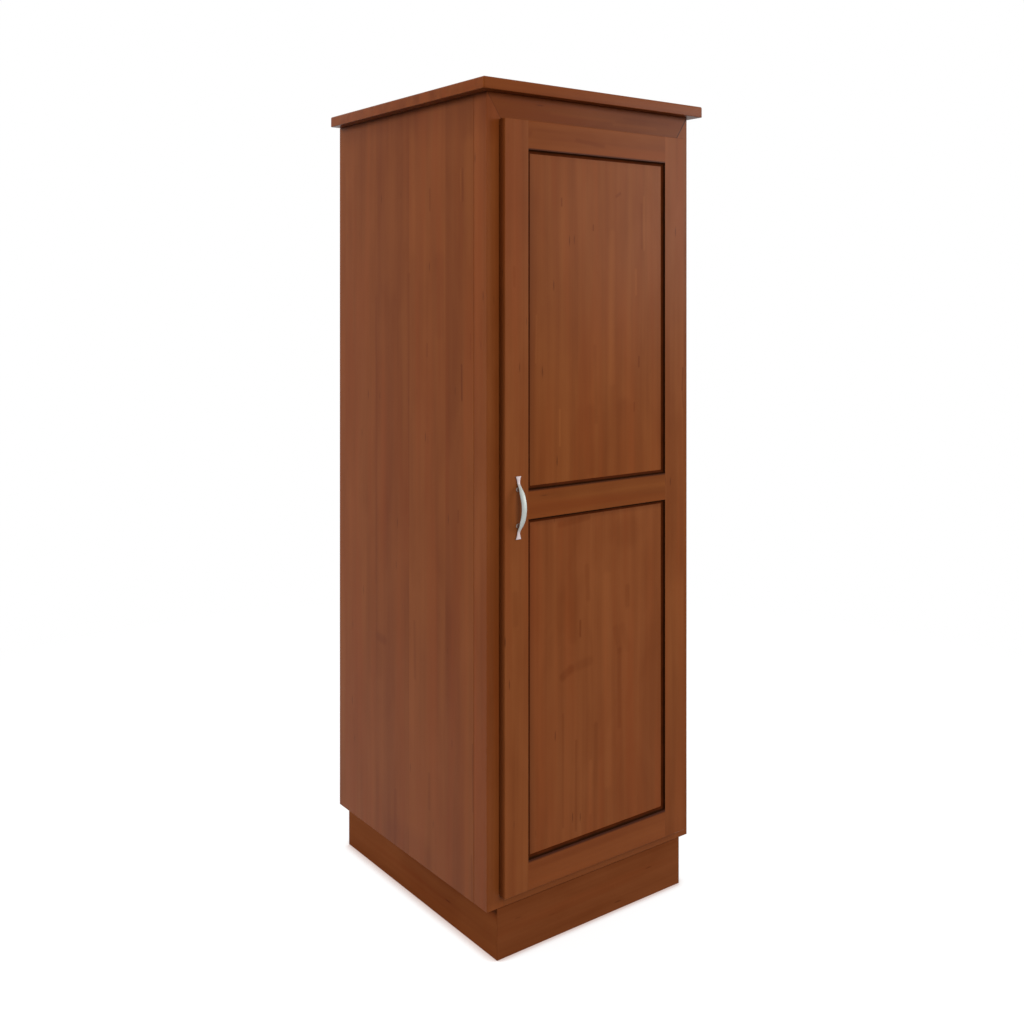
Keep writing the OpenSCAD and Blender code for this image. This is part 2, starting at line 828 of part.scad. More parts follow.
catch_screw_l = 14;
catch_screw_dz = catch_h / 2 - 7;
catch_flange_t = 3;

// Places of the catches' screws, on the flanges' inner faces, pointing into the left post
module catch_screw_places() {
    for (z = catch_zs, s = [-1, 1])
        translate([-opening + catch_flange_t, catch_front + catch_d / 2, z + s * catch_screw_dz])
            along_minus_x() children();
}

// A catch: a moulded body on a flat flange that has a screw above and below it
module catch(z) {
    body_h = catch_h - 28;
    color(plastic) difference() {
        union() {
            block([-opening, catch_front, z - catch_h / 2],
                  [-opening + catch_flange_t, catch_front + catch_d, z + catch_h / 2]);
            block([-opening, catch_front, z - body_h / 2], [-opening + catch_w, catch_front + catch_d, z + body_h / 2]);
        }
        catch_screw_places() screw_hole(catch_screw_l);
        magnet_block(z, 0);
    }
}

module catch_upper() { catch(catch_zs[0]); }
module catch_lower() { catch(catch_zs[1]); }

// The magnet and its pole plates, proud of the catch's front by magnet_stand
module magnet_block(z, play) {
    pocket_d = catch_d - 4;
    block([-opening + catch_flange_t + play, catch_front - magnet_stand, z - 8 + play],
          [-opening + catch_w - 2.5 - play, catch_front + pocket_d, z + 8 - play]);
}

module catch_magnets() {
    color(steel) {
        for (z = catch_zs) magnet_block(z, 0);
        catch_screw_places() wood_screw(catch_screw_l);
    }
}

strike_screw_l = 10;
strike_h = 34;

module strike_screw_places() {
    for (z = catch_zs, s = [-1, 1])
        translate([-opening + catch_w / 2 + 1, strike_back, z + s * (strike_h / 2 - 5)])
            along_minus_y() children();
}

module catch_strikes() {
    color(steel) {
        difference() {
            for (z = catch_zs)
                block([-opening + 2, door_back, z - strike_h / 2], [-opening + catch_w + 1, strike_back, z + strike_h / 2]);
            strike_screw_places() screw_hole(strike_screw_l);
        }
        strike_screw_places() wood_screw(strike_screw_l);
    }
}

// Hinges

hinge_frame_screw_l = 16;
hinge_door_screw_l = 14;

// Places of the hinges' screws, on the wood under the leaves, pointing into the wood
module hinge_frame_screw_places() {
    for (z = hinge_zs, s = [-1, 1]) translate([frame_screw_x, front, z + s * hinge_screw_dz])
        along_y() children();
}

module hinge_door_screw_places() {
    for (z = hinge_zs, s = [-1, 1]) translate([door_screw_x, door_back, z + s * hinge_screw_dz])
        along_minus_y() children();
}

// The knuckles whose number is odd or even, grown by play all round
module knuckles(parity, play) {
    for (i = [0:knuckle_count - 1]) if (i % 2 == parity)
        translate([0, 0, i * knuckle_h - hinge_h / 2 + knuckle_gap / 2 - play])
            cylinder(h = knuckle_h - knuckle_gap + 2 * play, r = knuckle_r + play, $fn = 48);
}

// The leaf on the frame: a flat plate to the right of the pin, with the outer and middle knuckles
module frame_leaf(z) {
    color(steel) difference() {
        translate([pin_x, pin_y, z]) difference() {
            union() {
                difference() {
                    block([0, front - pin_y - leaf_t, -hinge_h / 2], [frame_leaf_w, front - pin_y, hinge_h / 2]);
                    knuckles(1, knuckle_gap);
                }
                knuckles(0, 0);
            }
            translate([0, 0, -hinge_h / 2 - cut]) cylinder(h = hinge_h + 2 * cut, r = pin_r + pin_clear, $fn = 48);
        }
        hinge_frame_screw_places() translate([0, 0, -leaf_t]) screw_hole(hinge_frame_screw_l);
    }
}

// The leaf behind the door: a flat plate to the left of the pin, with the two other knuckles
module door_leaf(z) {
    color(steel) difference() {
        translate([pin_x, pin_y, z]) difference() {
            union() {
                difference() {
                    block([-door_leaf_w, door_back - pin_y, -hinge_h / 2], [0, door_back - pin_y + leaf_t, hinge_h / 2]);
                    knuckles(0, knuckle_gap);
                }
                knuckles(1, 0);
            }
            translate([0, 0, -hinge_h / 2 - cut]) cylinder(h = hinge_h + 2 * cut, r = pin_r + pin_clear, $fn = 48);
        }
        hinge_door_screw_places() translate([0, 0, -leaf_t]) screw_hole(hinge_door_screw_l);
    }
}

// A pin with a turned button at each end
module hinge_pin(z) {
    button_r = knuckle_r - 0.3;
    seat = hinge_h / 2 - knuckle_gap / 2;
    color(steel) translate([pin_x, pin_y, z]) {
        translate([0, 0, -seat]) cylinder(h = 2 * seat, r = pin_r, $fn = 48);
        for (up = [0, 1]) mirror([0, 0, 1 - up]) translate([0, 0, seat]) rotate_extrude($fn = 48)
            polygon([[0, 0], [button_r, 0], [button_r, 1], [button_r - 1, 1.8], [button_r - 1, 2.4],
                     [button_r - 0.5, 3.2], [button_r - 0.9, 4.2], [0, 4.8]]);
    }
}

module hinge_upper_frame_leaf() { frame_leaf(hinge_zs[0]); }
module hinge_upper_door_leaf() { door_leaf(hinge_zs[0]); }
module hinge_upper_pin() { hinge_pin(hinge_zs[0]); }
module hinge_middle_frame_leaf() { frame_leaf(hinge_zs[1]); }
module hinge_middle_door_leaf() { door_leaf(hinge_zs[1]); }
module hinge_middle_pin() { hinge_pin(hinge_zs[1]); }
module hinge_lower_frame_leaf() { frame_leaf(hinge_zs[2]); }
module hinge_lower_door_leaf() { door_leaf(hinge_zs[2]); }
module hinge_lower_pin() { hinge_pin(hinge_zs[2]); }

module hinge_frame_screws() {
    color(steel) hinge_frame_screw_places() translate([0, 0, -leaf_t]) wood_screw(hinge_frame_screw_l);
}

module hinge_door_screws() {
    color(steel) hinge_door_screw_places() translate([0, 0, -leaf_t]) wood_screw(hinge_door_screw_l);
}

top_panel();
left_side_panel();
right_side_panel();
back_panel();
bottom_panel();
frame_post_left();
frame_post_right();
frame_top_rail();
frame_bottom_rail();
top_stretcher_front();
top_stretcher_back();
wall_rail();
base_bearer_left();
base_bearer_right();
plinth_front();
plinth_back();
plinth_left();
plinth_right();
plinth_block_front_left();
plinth_block_front_right();
plinth_block_back_left();
plinth_block_back_right();
hat_shelf();
shelf_nosing();
shelf_cleat_left();
shelf_cleat_right();
clothes_rod();
rod_socket_left();
rod_socket_right();
rod_socket_screws();
top_screws();
cleat_screws();
back_panel_screws();
door_stile_left();
door_stile_right();
door_top_rail();
door_middle_rail();
door_bottom_rail();
door_panel_upper();
door_panel_lower();
panel_bead_upper();
panel_bead_lower();
pull_handle();
pull_screws();
door_bumpers();
hinge_upper_frame_leaf();
hinge_upper_door_leaf();
hinge_upper_pin();
hinge_middle_frame_leaf();
hinge_middle_door_leaf();
hinge_middle_pin();
hinge_lower_frame_leaf();
hinge_lower_door_leaf();
hinge_lower_pin();
hinge_frame_screws();
hinge_door_screws();
catch_upper();
catch_lower();
catch_magnets();
catch_strikes();
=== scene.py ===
# Looks of the wardrobe: stained cherry boards, dark glazed beads, a satin nickel pull and plated fittings,
# on a white studio floor. Metres, in the part's own frame: the door faces -Y.
import bpy
import math
import numpy as np
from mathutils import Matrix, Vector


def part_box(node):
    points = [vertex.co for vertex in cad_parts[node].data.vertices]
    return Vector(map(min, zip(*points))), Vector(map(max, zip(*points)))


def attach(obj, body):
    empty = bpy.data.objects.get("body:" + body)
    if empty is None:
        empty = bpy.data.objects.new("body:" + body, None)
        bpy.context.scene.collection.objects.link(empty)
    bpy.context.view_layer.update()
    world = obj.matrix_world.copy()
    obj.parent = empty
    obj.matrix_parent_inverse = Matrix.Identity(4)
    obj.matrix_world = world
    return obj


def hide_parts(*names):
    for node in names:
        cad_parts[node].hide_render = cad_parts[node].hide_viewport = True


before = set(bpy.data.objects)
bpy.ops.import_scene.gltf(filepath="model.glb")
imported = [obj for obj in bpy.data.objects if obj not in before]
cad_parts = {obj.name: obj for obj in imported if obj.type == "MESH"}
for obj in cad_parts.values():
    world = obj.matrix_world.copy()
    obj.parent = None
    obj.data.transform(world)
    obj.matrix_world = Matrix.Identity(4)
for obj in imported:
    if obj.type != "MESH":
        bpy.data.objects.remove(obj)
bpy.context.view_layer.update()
mm = 0.001
print("frame loaded:", len(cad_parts), "nodes")


# Shader maths: a Wire is one output socket, and an expression on wires adds its Math nodes

class Wire:
    def __init__(self, tree, socket=None):
        self.tree, self.socket = tree, socket

    # Any node: its settings are set first, then its input sockets by name or number
    def node(self, kind, settings=None, inputs=None, output=0):
        made = self.tree.nodes.new(kind)
        for setting, value in (settings or {}).items():
            setattr(made, setting, value)
        for place, value in (inputs or {}).items():
            if isinstance(value, Wire):
                self.tree.links.new(value.socket, made.inputs[place])
            else:
                made.inputs[place].default_value = value
        return Wire(self.tree, made.outputs[output] if made.outputs else None)

    def maths(self, operation, first, second=0.0):
        return self.node("ShaderNodeMath", {"operation": operation}, {0: first, 1: second})

    def __add__(self, other):
        return self.maths("ADD", self, other)

    def __sub__(self, other):
        return self.maths("SUBTRACT", self, other)

    def __rsub__(self, other):
        return self.maths("SUBTRACT", other, self)

    def __mul__(self, other):
        return self.maths("MULTIPLY", self, other)

    def __truediv__(self, other):
        return self.maths("DIVIDE", self, other)

    __radd__ = __add__
    __rmul__ = __mul__


# 0 below low, 1 above high and smooth between them
def smoothBetween(wire, low, high):
    return wire.node("ShaderNodeMapRange", {"interpolation_type": "SMOOTHSTEP"},
                     {"Value": wire, "From Min": low, "From Max": high, "To Min": 0.0, "To Max": 1.0})


def mixColour(factor, first, second):
    return factor.node("ShaderNodeMix", {"data_type": "RGBA"}, {0: factor, 6: first, 7: second}, output=2)


def vector(x, y, z):
    return x.node("ShaderNodeCombineXYZ", None, {0: x, 1: y, 2: z})


# Noise of about 0 to 1 at a place whose three wires are already divided by the size of its waves
def noiseAt(place, detail=2.0, roughness=0.5, distortion=0.0):
    return place.node("ShaderNodeTexNoise", {"noise_dimensions": "3D"},
                      {"Vector": place, "Scale": 1.0, "Detail": detail, "Roughness": roughness,
                       "Distortion": distortion})


# Noise whose waves have the same size in every direction, at a place of three wires
def evenNoise(place, wave, detail):
    return noiseAt(vector(*(wire / wave for wire in place)), detail=detail)


# A new material, the root of its node tree and the three object coordinates
def newMaterial(name):
    material = bpy.data.materials.new(name)
    material.use_nodes = True
    material.node_tree.nodes.clear()
    start = Wire(material.node_tree)
    place = start.node("ShaderNodeTexCoord", output="Object")
    x, y, z = (start.node("ShaderNodeSeparateXYZ", None, {0: place}, output=i) for i in range(3))
    return material, start, x, y, z


# The shader of a finish: numbers go on its own sockets, and wires feed only the ones that can be baked
def finishWith(start, sockets):
    shader = start.node("ShaderNodeBsdfPrincipled", None, sockets)
    start.node("ShaderNodeOutputMaterial", None, {"Surface": shader})


# A height in parts of distance, as a normal
def bumpOf(height, distance, strength):
    inputs = {"Strength": strength, "Distance": distance, "Height": height}
    return height.node("ShaderNodeBump", None, inputs)


# A colour times a tone, which is one number or one for each of red, green and blue
def toned(shade, tone=1.0):
    return tuple(np.minimum(1.0, np.multiply(shade, tone)).tolist()) + (1.0,)


# Wood. Every board has its own pattern: rings round a pith that runs beside the board, streaks along the
# grain, blotches where the stain took unevenly, short dark flecks and fine pores.

caseWood = {
    "pale": (0.218, 0.064, 0.0155), "deep": (0.128, 0.0290, 0.0050), "warm": (0.196, 0.0430, 0.0085),
    "fleck": (0.034, 0.0062, 0.0012), "roughness": 0.34, "specular": 0.07,
    "streak": 1.25, "blotch": 0.90, "ring": 0.04, "fibre": 0.09, "flecks": 0.55,
}
plinthWood = {**caseWood, "roughness": 0.55, "specular": 0.02}
sideWood = {**caseWood, "streak": 0.95}
panelWood = {**caseWood, "streak": 1.05}
innerWood = {
    "pale": (0.400, 0.198, 0.090), "deep": (0.255, 0.108, 0.042), "warm": (0.350, 0.150, 0.062),
    "fleck": (0.120, 0.048, 0.022), "roughness": 0.50, "specular": 0.25,
    "streak": 1.0, "blotch": 0.7, "ring": 0.28, "fibre": 0.18, "flecks": 0.40,
}
grainSize = {
    "ring": 5.5 * mm, "wander": 14 * mm, "bendAlong": 450 * mm, "bendAcross": 160 * mm,
    "streakAlong": 900 * mm, "streakAcross": 28 * mm, "blotchAlong": 260 * mm, "blotchAcross": 90 * mm,
    "fibreAlong": 60 * mm, "fibreAcross": 1.6 * mm, "fleckAlong": 95 * mm, "fleckAcross": 13 * mm,
    "tintAlong": 600 * mm, "tintAcross": 38 * mm, "edge": 2.5 * mm,
}

# How the parts of the pattern add up. A pair is the value where an effect starts and the one where it is
# full, and shift and pithDeep are the range of a random draw.
grainMix = {
    "darkness": (-0.25, 1.25), "tint": (0.42, 0.72), "tintShare": 0.45, "markGain": 2.0, "markCore": 0.25,
    "ringRise": (0.25, 0.90), "ringFall": (0.90, 1.0), "ringBend": 1.6, "spot": (0.04, 0.17),
    "picked": (0.86, 0.90), "edgeStain": 0.07, "staveShift": 7.0, "staveTone": 0.25,
    "smoother": 0.06, "roughBlotch": 0.10, "roughFibre": 0.04, "heightFibre": 0.7, "heightStreak": 0.3,
    "bump": 0.12 * mm, "bumpStrength": 0.25, "shift": (5, 60), "pithAside": 0.12, "pithDeep": (0.09, 0.15),
}

# Marks on single boards, each a line in mm: its start and its end, each across and along the grain, half its
# width, and how dark it is, or below 0 how pale. Most are marks that the stain left. The widest are painted
# shade under the top's overhang and along the side panel's foot, a painted paler band where the overhang
# shades the plinth's top, and paler or deeper stretches of a board.
grainAndShadeMarks = {
    "door_panel_upper": [
        (-104, 1591, -104, 1575, 3, 0.30), (-16, 1537, -16, 1526, 3, 0.30), (53, 1604, 64, 1611, 5, 0.20),
        (121, 1244, 121, 1222, 3, 0.50), (107, 1141, 107, 1122, 3, 0.28), (-10, 1270, -8, 1105, 8, 0.10),
        (74, 1000, 78, 1130, 34, 0.14), (40, 1190, 40, 1520, 13, -0.10), (138, 1487, 138, 1607, 4, -0.14),
        (131, 1490, 131, 1590, 4, 0.12), (111, 1386, 111, 1441, 5, -0.16),
        (-174, 1240, -174, 1340, 3, -0.12), (-110, 1060, -110, 1137, 4, -0.16),
        (-20, 1000, -24, 1130, 20, 0.10),
    ],
    "door_panel_lower": [
        (-101, 562, -80, 574, 14, 0.17), (-80, 574, -26, 582, 16, 0.10), (50, 640, 62, 590, 13, 0.09),
        (70, 640, 88, 590, 14, 0.08), (61, 590, 61, 420, 9, 0.13), (85, 727, 85, 687, 11, 0.13),
        (-53, 674, -53, 641, 4, 0.24), (-8, 438, -8, 206, 9, 0.13), (-64, 415, -64, 222, 5, 0.14),
        (-101, 480, -101, 239, 5, 0.11), (-109, 890, -30, 897, 10, 0.14), (-22, 360, -22, 250, 7, -0.12),
        (25, 760, 28, 300, 16, -0.10), (-80, 900, -74, 640, 18, 0.08), (-35, 790, -30, 720, 10, 0.09),
        (95, 850, 70, 850, 50, 0.10),
    ],
    "door_stile_right": [
        (250, 780, 250, 1060, 80, 0.11), (245, 1290, 245, 1180, 50, -0.07), (240, 200, 240, 660, 80, -0.09),
        (256, 1214, 254, 1165, 4, 0.32), (254, 1165, 257, 1122, 3, 0.22),
    ],
    "door_stile_left": [
        (-237, 1750, -237, 1500, 60, 0.05), (-237, 120, -237, 800, 60, -0.04),
        (-237, 1440, -237, 1402, 6, 0.12), (-234, 760, -234, 700, 12, 0.08),
    ],
    "door_top_rail": [(1719, -66, 1711, 10, 7, 0.12), (1714, -207, 1724, -196, 10, 0.10)],
    "left_side_panel": [
        # The third mark in the next row is painted shade along the panel's foot
        (-243, 440, -243, 300, 3, 0.20), (-238, 205, -238, 112, 4, 0.14), (-50, 130, 70, 130, 60, 0.12),
        # Marks at 1804 along the grain, in the next two rows, are painted shade under the top's overhang
        (-236, 1690, -236, 120, 44, -0.16), (-180, 1804, -60, 1804, 110, 0.12),
        (0, 1804, 330, 1804, 60, 0.11), (-206, 1650, -206, 1585, 6, 0.14),
        (-199, 1650, -199, 1585, 5, -0.12), (-77, 1618, -77, 1572, 5, 0.18),
        (-201, 1234, -202, 1160, 4, 0.42), (-66, 1275, -66, 1248, 4, 0.20), (10, 1430, 10, 860, 7, 0.10),
        (148, 574, 122, 572, 16, 0.14), (-11, 645, -13, 520, 7, 0.14), (-189, 922, -189, 898, 4, 0.18),
        (72, 235, 72, 113, 8, 0.12), (-74, 320, -74, 246, 8, 0.13), (-118, 1460, -118, 1307, 30, 0.10),
        (160, 1380, 160, 700, 6, 0.08), (-235, 1300, -235, 1250, 4, 0.16),
    ],
    "frame_post_left": [
        # The second mark in the next row, at 1804 along the grain, is painted shade under the top's overhang
        (-250, 1738, -250, 1696, 4, 0.25), (-290, 1804, -250, 1804, 115, 0.20),
        (-294, 1700, -294, 110, 8, 0.04), (-278, 1690, -278, 110, 11, -0.05),
    ],
    "plinth_left": [
        # The last mark in the next row is painted light: a paler band along the top edge, where the side
        # panel's overhang shades it
        (75, 335, 85, 130, 70, -0.17), (50, -290, 50, -190, 70, -0.10), (108, -290, 108, 335, 36, -0.10),
    ],
    "frame_top_rail": [
        (1744, -252, 1743, -150, 9, 0.16), (1747, -60, 1746, 20, 10, 0.10), (1752, 215, 1750, 250, 8, 0.08),
        (1775, -120, 1774, 60, 6, -0.10), (1768, 60, 1767, 190, 5, -0.12), (1783, 90, 1782, 230, 4, 0.08),
    ],
}

# Joints that show as dark lines, in the same columns: the mitres of the face frame, from their outer to
# their inner corner, and the edge between its foot and the plinth
postLow, (railLow, railHigh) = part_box("frame_post_right")[0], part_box("frame_top_rail")
outerX, outerZ = railHigh[0] / mm, railHigh[2] / mm
innerX, innerZ = postLow[0] / mm, railLow[2] / mm
plinthTop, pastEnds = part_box("plinth_front")[1][2] / mm, 300
jointAndShadeLines = {
    "frame_top_rail": [(outerZ, outerX, innerZ, innerX, 2.1, 0.95),
                       (outerZ, -outerX, innerZ, -innerX, 1.4, 0.55)],
    "frame_post_right": [(outerX, outerZ, innerX, innerZ, 1.8, 0.90)],
    "frame_post_left": [(-outerX, outerZ, -innerX, innerZ, 0.8, 0.40)],
    "plinth_front": [(plinthTop, -pastEnds, plinthTop, pastEnds, 1.6, 0.42)],
    "frame_bottom_rail": [(plinthTop, -pastEnds, plinthTop, pastEnds, 1.2, 0.34)],
}

# Painted shade beside the beads, deeper along the left and the top of each panel, where the frame shades it:
# half width and strength at the left, and the same at the top
shadeBesideBeads = {"upper": ((26, 0.22), (22, 0.10)), "lower": ((26, 0.24), (22, 0.28))}
for level, (atLeft, atTop) in shadeBesideBeads.items():
    low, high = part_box("panel_bead_" + level)
    left, bottom, right, top = low[0] / mm, low[2] / mm, high[0] / mm, high[2] / mm
    jointAndShadeLines["door_panel_" + level] = [(left, bottom, left, top, *atLeft), (left, top, right, top, *atTop)]

# The dark glaze runs over the edges of the door's rails beside the beads. Rail: the end of its box where
# that edge is, 0 the lower and 1 the upper, half width and strength.
glazedEdges = {"top": (0, 4.3, 0.85), "middle": (1, 4.5, 0.85), "bottom": (1, 8.0, 0.96)}
for rail, (end, halfWidth, strength) in glazedEdges.items():
    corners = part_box("door_" + rail + "_rail")
    left, right, edge = corners[0][0] / mm, corners[1][0] / mm, corners[end][2] / mm
    jointAndShadeLines["door_" + rail + "_rail"] = [(edge, left, edge, right, halfWidth, strength)]


# How strongly one line marks a board at a place: its strength close to the line and 0 beyond its half width
def markAt(start, across, along, mark):
    *place, strength = mark
    u0, v0, u1, v1, halfWidth = (value * mm for value in place)
    length = math.hypot(u1 - u0, v1 - v0)
    run, rise = (u1 - u0) / length, (v1 - v0) / length
    u, v = across - u0, along - v0
    onLine = start.maths("MINIMUM", start.maths("MAXIMUM", u * run + v * rise, 0.0), length)
    gapU, gapV = u - onLine * run, v - onLine * rise
    gap = start.maths("SQRT", gapU * gapU + gapV * gapV)
    return (1 - smoothBetween(gap, halfWidth * grainMix["markCore"], halfWidth)) * strength


# The wood of one board. Its look is one of the woods above, grain and face are the axes that the grain runs
# along and the face looks along, tone is a factor on the colours, and staves, where given, is their width
# and the place of a seam.
def woodMaterial(name, look, grain, face, tone, staves, seed):
    material, start, x, y, z = newMaterial("wood_" + name)
    size, mix = grainSize, grainMix
    draw = np.random.default_rng(seed)
    shift = draw.uniform(*mix["shift"], 3)
    wires = {"x": x, "y": y, "z": z}
    side = ({"x", "y", "z"} - {grain, face}).pop()
    low, high = (dict(zip("xyz", corner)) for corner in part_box(name))
    along, across, deep = wires[grain], wires[side], wires[face]

    # A glued-up board has staves, each with a pattern and a tone of its own
    staveTone = 0.0
    if staves:
        width, seam = staves
        stave = start.maths("FLOOR", (across - seam) / width) + shift[0]
        chance = start.node("ShaderNodeTexWhiteNoise", {"noise_dimensions": "1D"}, {"W": stave})
        along = along + chance * mix["staveShift"]
        staveTone = (chance - 0.5) * mix["staveTone"]

    # A place in the units of one kind of mark, stretched along the grain and moved on by one of the shifts
    def placeOf(kind, aside, number):
        wide = size[kind + "Across"]
        return vector(along / size[kind + "Along"] + shift[number], aside / wide, deep / wide)

    bend = noiseAt(placeOf("bend", across, 0), detail=1.5) - 0.5
    bent = across + bend * size["wander"]

    # Yearly rings: the distance from the pith in ring widths, whose fraction ends in a darker line
    pithAcross = (low[side] + high[side]) / 2 + draw.uniform(-mix["pithAside"], mix["pithAside"])
    pithDeep = (low[face] + high[face]) / 2 + draw.uniform(*mix["pithDeep"])
    nearAcross, nearDeep = bent - pithAcross, deep - pithDeep
    radius = start.maths("SQRT", nearAcross * nearAcross + nearDeep * nearDeep)
    year = start.maths("FRACT", radius / size["ring"] + bend * mix["ringBend"])
    ring = smoothBetween(year, *mix["ringRise"]) - smoothBetween(year, *mix["ringFall"])

    streak = noiseAt(placeOf("streak", bent, 1), detail=2.5, roughness=0.55)
    blotch = noiseAt(placeOf("blotch", across, 2), detail=3.0, roughness=0.55, distortion=0.4)
    fibre = noiseAt(placeOf("fibre", bent, 0), detail=2.0, roughness=0.6)
    tint = noiseAt(vector(along / size["tintAlong"] + shift[1], bent / size["tintAcross"],
                          deep / size["tintAcross"] + shift[2]), detail=2.0)

    darkness = (0.5 + (streak - 0.5) * look["streak"] + (blotch - 0.5) * look["blotch"]
                + (ring - 0.5) * look["ring"] + (fibre - 0.5) * look["fibre"] + staveTone)
    for mark in grainAndShadeMarks.get(name, []):
        darkness = darkness + markAt(start, bent, wires[grain], mark) * mix["markGain"]
    pale, full, warm, dark = (toned(look[shade], tone) for shade in ("pale", "deep", "warm", "fleck"))
    base = mixColour(smoothBetween(darkness, *mix["darkness"]), pale, full)
    base = mixColour(smoothBetween(tint, *mix["tint"]) * mix["tintShare"], base, warm)

    # Flecks: thin cells stretched along the grain, of which a few are filled
    cells = {"Vector": placeOf("fleck", bent, 2), "Scale": 1.0}
    spot = start.node("ShaderNodeTexVoronoi", None, cells, output="Distance")
    pick = start.node("ShaderNodeTexVoronoi", None, cells, output="Color")
    pick = start.node("ShaderNodeSeparateXYZ", None, {0: pick})
    fleck = (1 - smoothBetween(spot, *mix["spot"])) * smoothBetween(pick, *mix["picked"]) * look["flecks"]
    base = mixColour(fleck, base, dark)

    # The stain lies a little darker along the board's edges and much darker in its joints; the painted shade
    # beside the door's beads comes in with the joints
    rim = start.maths("MINIMUM", start.maths("MINIMUM", across - low[side], high[side] - across),
                      start.maths("MINIMUM", wires[grain] - low[grain], high[grain] - wires[grain]))
    stained = (1 - smoothBetween(rim, 0.0, size["edge"])) * mix["edgeStain"]
    for joint in jointAndShadeLines.get(name, []):
        stained = start.maths("MAXIMUM", stained, markAt(start, across, wires[grain], joint))
    base = mixColour(stained, base, dark)

    rough = (look["roughness"] - mix["smoother"]) + blotch * mix["roughBlotch"] + fibre * mix["roughFibre"]
    height = fibre * mix["heightFibre"] + streak * mix["heightStreak"] - fleck
    finishWith(start, {"Base Color": base, "Roughness": rough, "Specular IOR Level": look["specular"],
                       "Normal": bumpOf(height, mix["bump"], mix["bumpStrength"])})
    return material


# Board: look, direction of the grain, direction that its face looks in, tone, width and seam of its staves
boards = {
    "top_panel": (caseWood, "x", "z", (1.08, 0.98, 0.93), (0.125, 0.05)),
    "left_side_panel": (sideWood, "z", "x", (1.02, 0.97, 0.88), (0.150, 0.010)),
    "right_side_panel": (sideWood, "z", "x", (1.02, 0.97, 0.88), (0.140, 0.025)),
    "frame_post_left": (caseWood, "z", "y", (1.22, 1.19, 1.22), None),
    "frame_post_right": (caseWood, "z", "y", (1.12, 1.14, 1.16), None),
    # The top rail's low tone is partly a darker board and partly painted shade under the top's overhang
    "frame_top_rail": (caseWood, "x", "y", (0.82, 0.71, 0.41), None),
    "frame_bottom_rail": (caseWood, "x", "y", (1.08, 1.05, 1.06), None),
    "plinth_front": (plinthWood, "x", "y", (1.02, 1.03, 1.36), None),
    "plinth_back": (plinthWood, "x", "y", (1.0, 1.0, 1.2), None),
    "plinth_left": (plinthWood, "y", "x", (0.87, 0.82, 0.90), None),
    "plinth_right": (plinthWood, "y", "x", (0.87, 0.82, 0.90), None),
    "shelf_nosing": (caseWood, "x", "y", (1.1, 1.1, 1.1), None),
    "door_stile_left": (caseWood, "z", "y", (1.17, 1.19, 1.33), None),
    "door_stile_right": (caseWood, "z", "y", (1.15, 1.18, 1.27), None),
    "door_top_rail": (caseWood, "x", "y", (1.06, 0.97, 0.72), None),
    "door_middle_rail": (caseWood, "x", "y", (1.03, 1.01, 0.90), None),
    "door_bottom_rail": (caseWood, "x", "y", (1.12, 1.06, 1.10), None),
    "door_panel_upper": (panelWood, "z", "y", (1.16, 1.17, 1.16), None),
    "door_panel_lower": (panelWood, "z", "y", (1.19, 1.23, 1.45), None),
    "back_panel": (innerWood, "z", "y", 0.9, None),
    "bottom_panel": (innerWood, "x", "z", 1.0, (0.11, 0.02)),
    "top_stretcher_front": (innerWood, "x", "z", 1.0, None),
    "top_stretcher_back": (innerWood, "x", "z", 0.97, None),
    "wall_rail": (innerWood, "x", "y", 1.03, None),
    "base_bearer_left": (innerWood, "y", "z", 0.95, None),
    "base_bearer_right": (innerWood, "y", "z", 1.0, None),
    "plinth_block_front_left": (innerWood, "z", "x", 1.0, None),
    "plinth_block_front_right": (innerWood, "z", "x", 0.96, None),
    "plinth_block_back_left": (innerWood, "z", "x", 1.02, None),
    "plinth_block_back_right": (innerWood, "z", "x", 0.98, None),
    "hat_shelf": (innerWood, "x", "z", 1.02, (0.12, 0.06)),
    "shelf_cleat_left": (innerWood, "y", "x", 1.0, None),
    "shelf_cleat_right": (innerWood, "y", "x", 0.97, None),
}
firstSeed = 300
materials = {}


# Gives a CAD node one of the materials
def coat(name, finish):
    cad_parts[name].data.materials.clear()
    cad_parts[name].data.materials.append(materials[finish])


for seed, (name, board) in enumerate(boards.items(), firstSeed):
    materials[name] = woodMaterial(name, *board, seed)
    coat(name, name)
print("boards stained:", len(boards))


# Dark glaze on the beads: nearly black where it pooled beside the frame, wiped browner towards the panel
beadGlaze = {
    "pooled": (0.0180, 0.0045, 0.0008), "wiped": (0.075, 0.0140, 0.0026), "wipe": (0.35, 1.05),
    "cloud": 30 * mm, "fibre": 1.5 * mm, "cloudShare": 0.5, "fibreShare": 0.2, "roughness": 0.60,
    "roughFibre": 0.08, "specular": 0.02, "bump": 0.05 * mm, "bumpStrength": 0.3,
}


def glazeMaterial(name):
    material, start, x, y, z = newMaterial(name)
    look = beadGlaze
    outer, inner = (corner[1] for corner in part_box("panel_bead_upper"))
    cloud = evenNoise((x, y, z), look["cloud"], 3.0)
    fibre = evenNoise((x, y, z), look["fibre"], 2.0)
    depth = (y - outer) / (inner - outer)
    worn = depth + (cloud - 0.5) * look["cloudShare"] + (fibre - 0.5) * look["fibreShare"]
    base = mixColour(smoothBetween(worn, *look["wipe"]), toned(look["pooled"]), toned(look["wiped"]))
    finishWith(start, {"Base Color": base, "Roughness": look["roughness"] + fibre * look["roughFibre"],
                       "Specular IOR Level": look["specular"],
                       "Normal": bumpOf(fibre, look["bump"], look["bumpStrength"])})
    return material
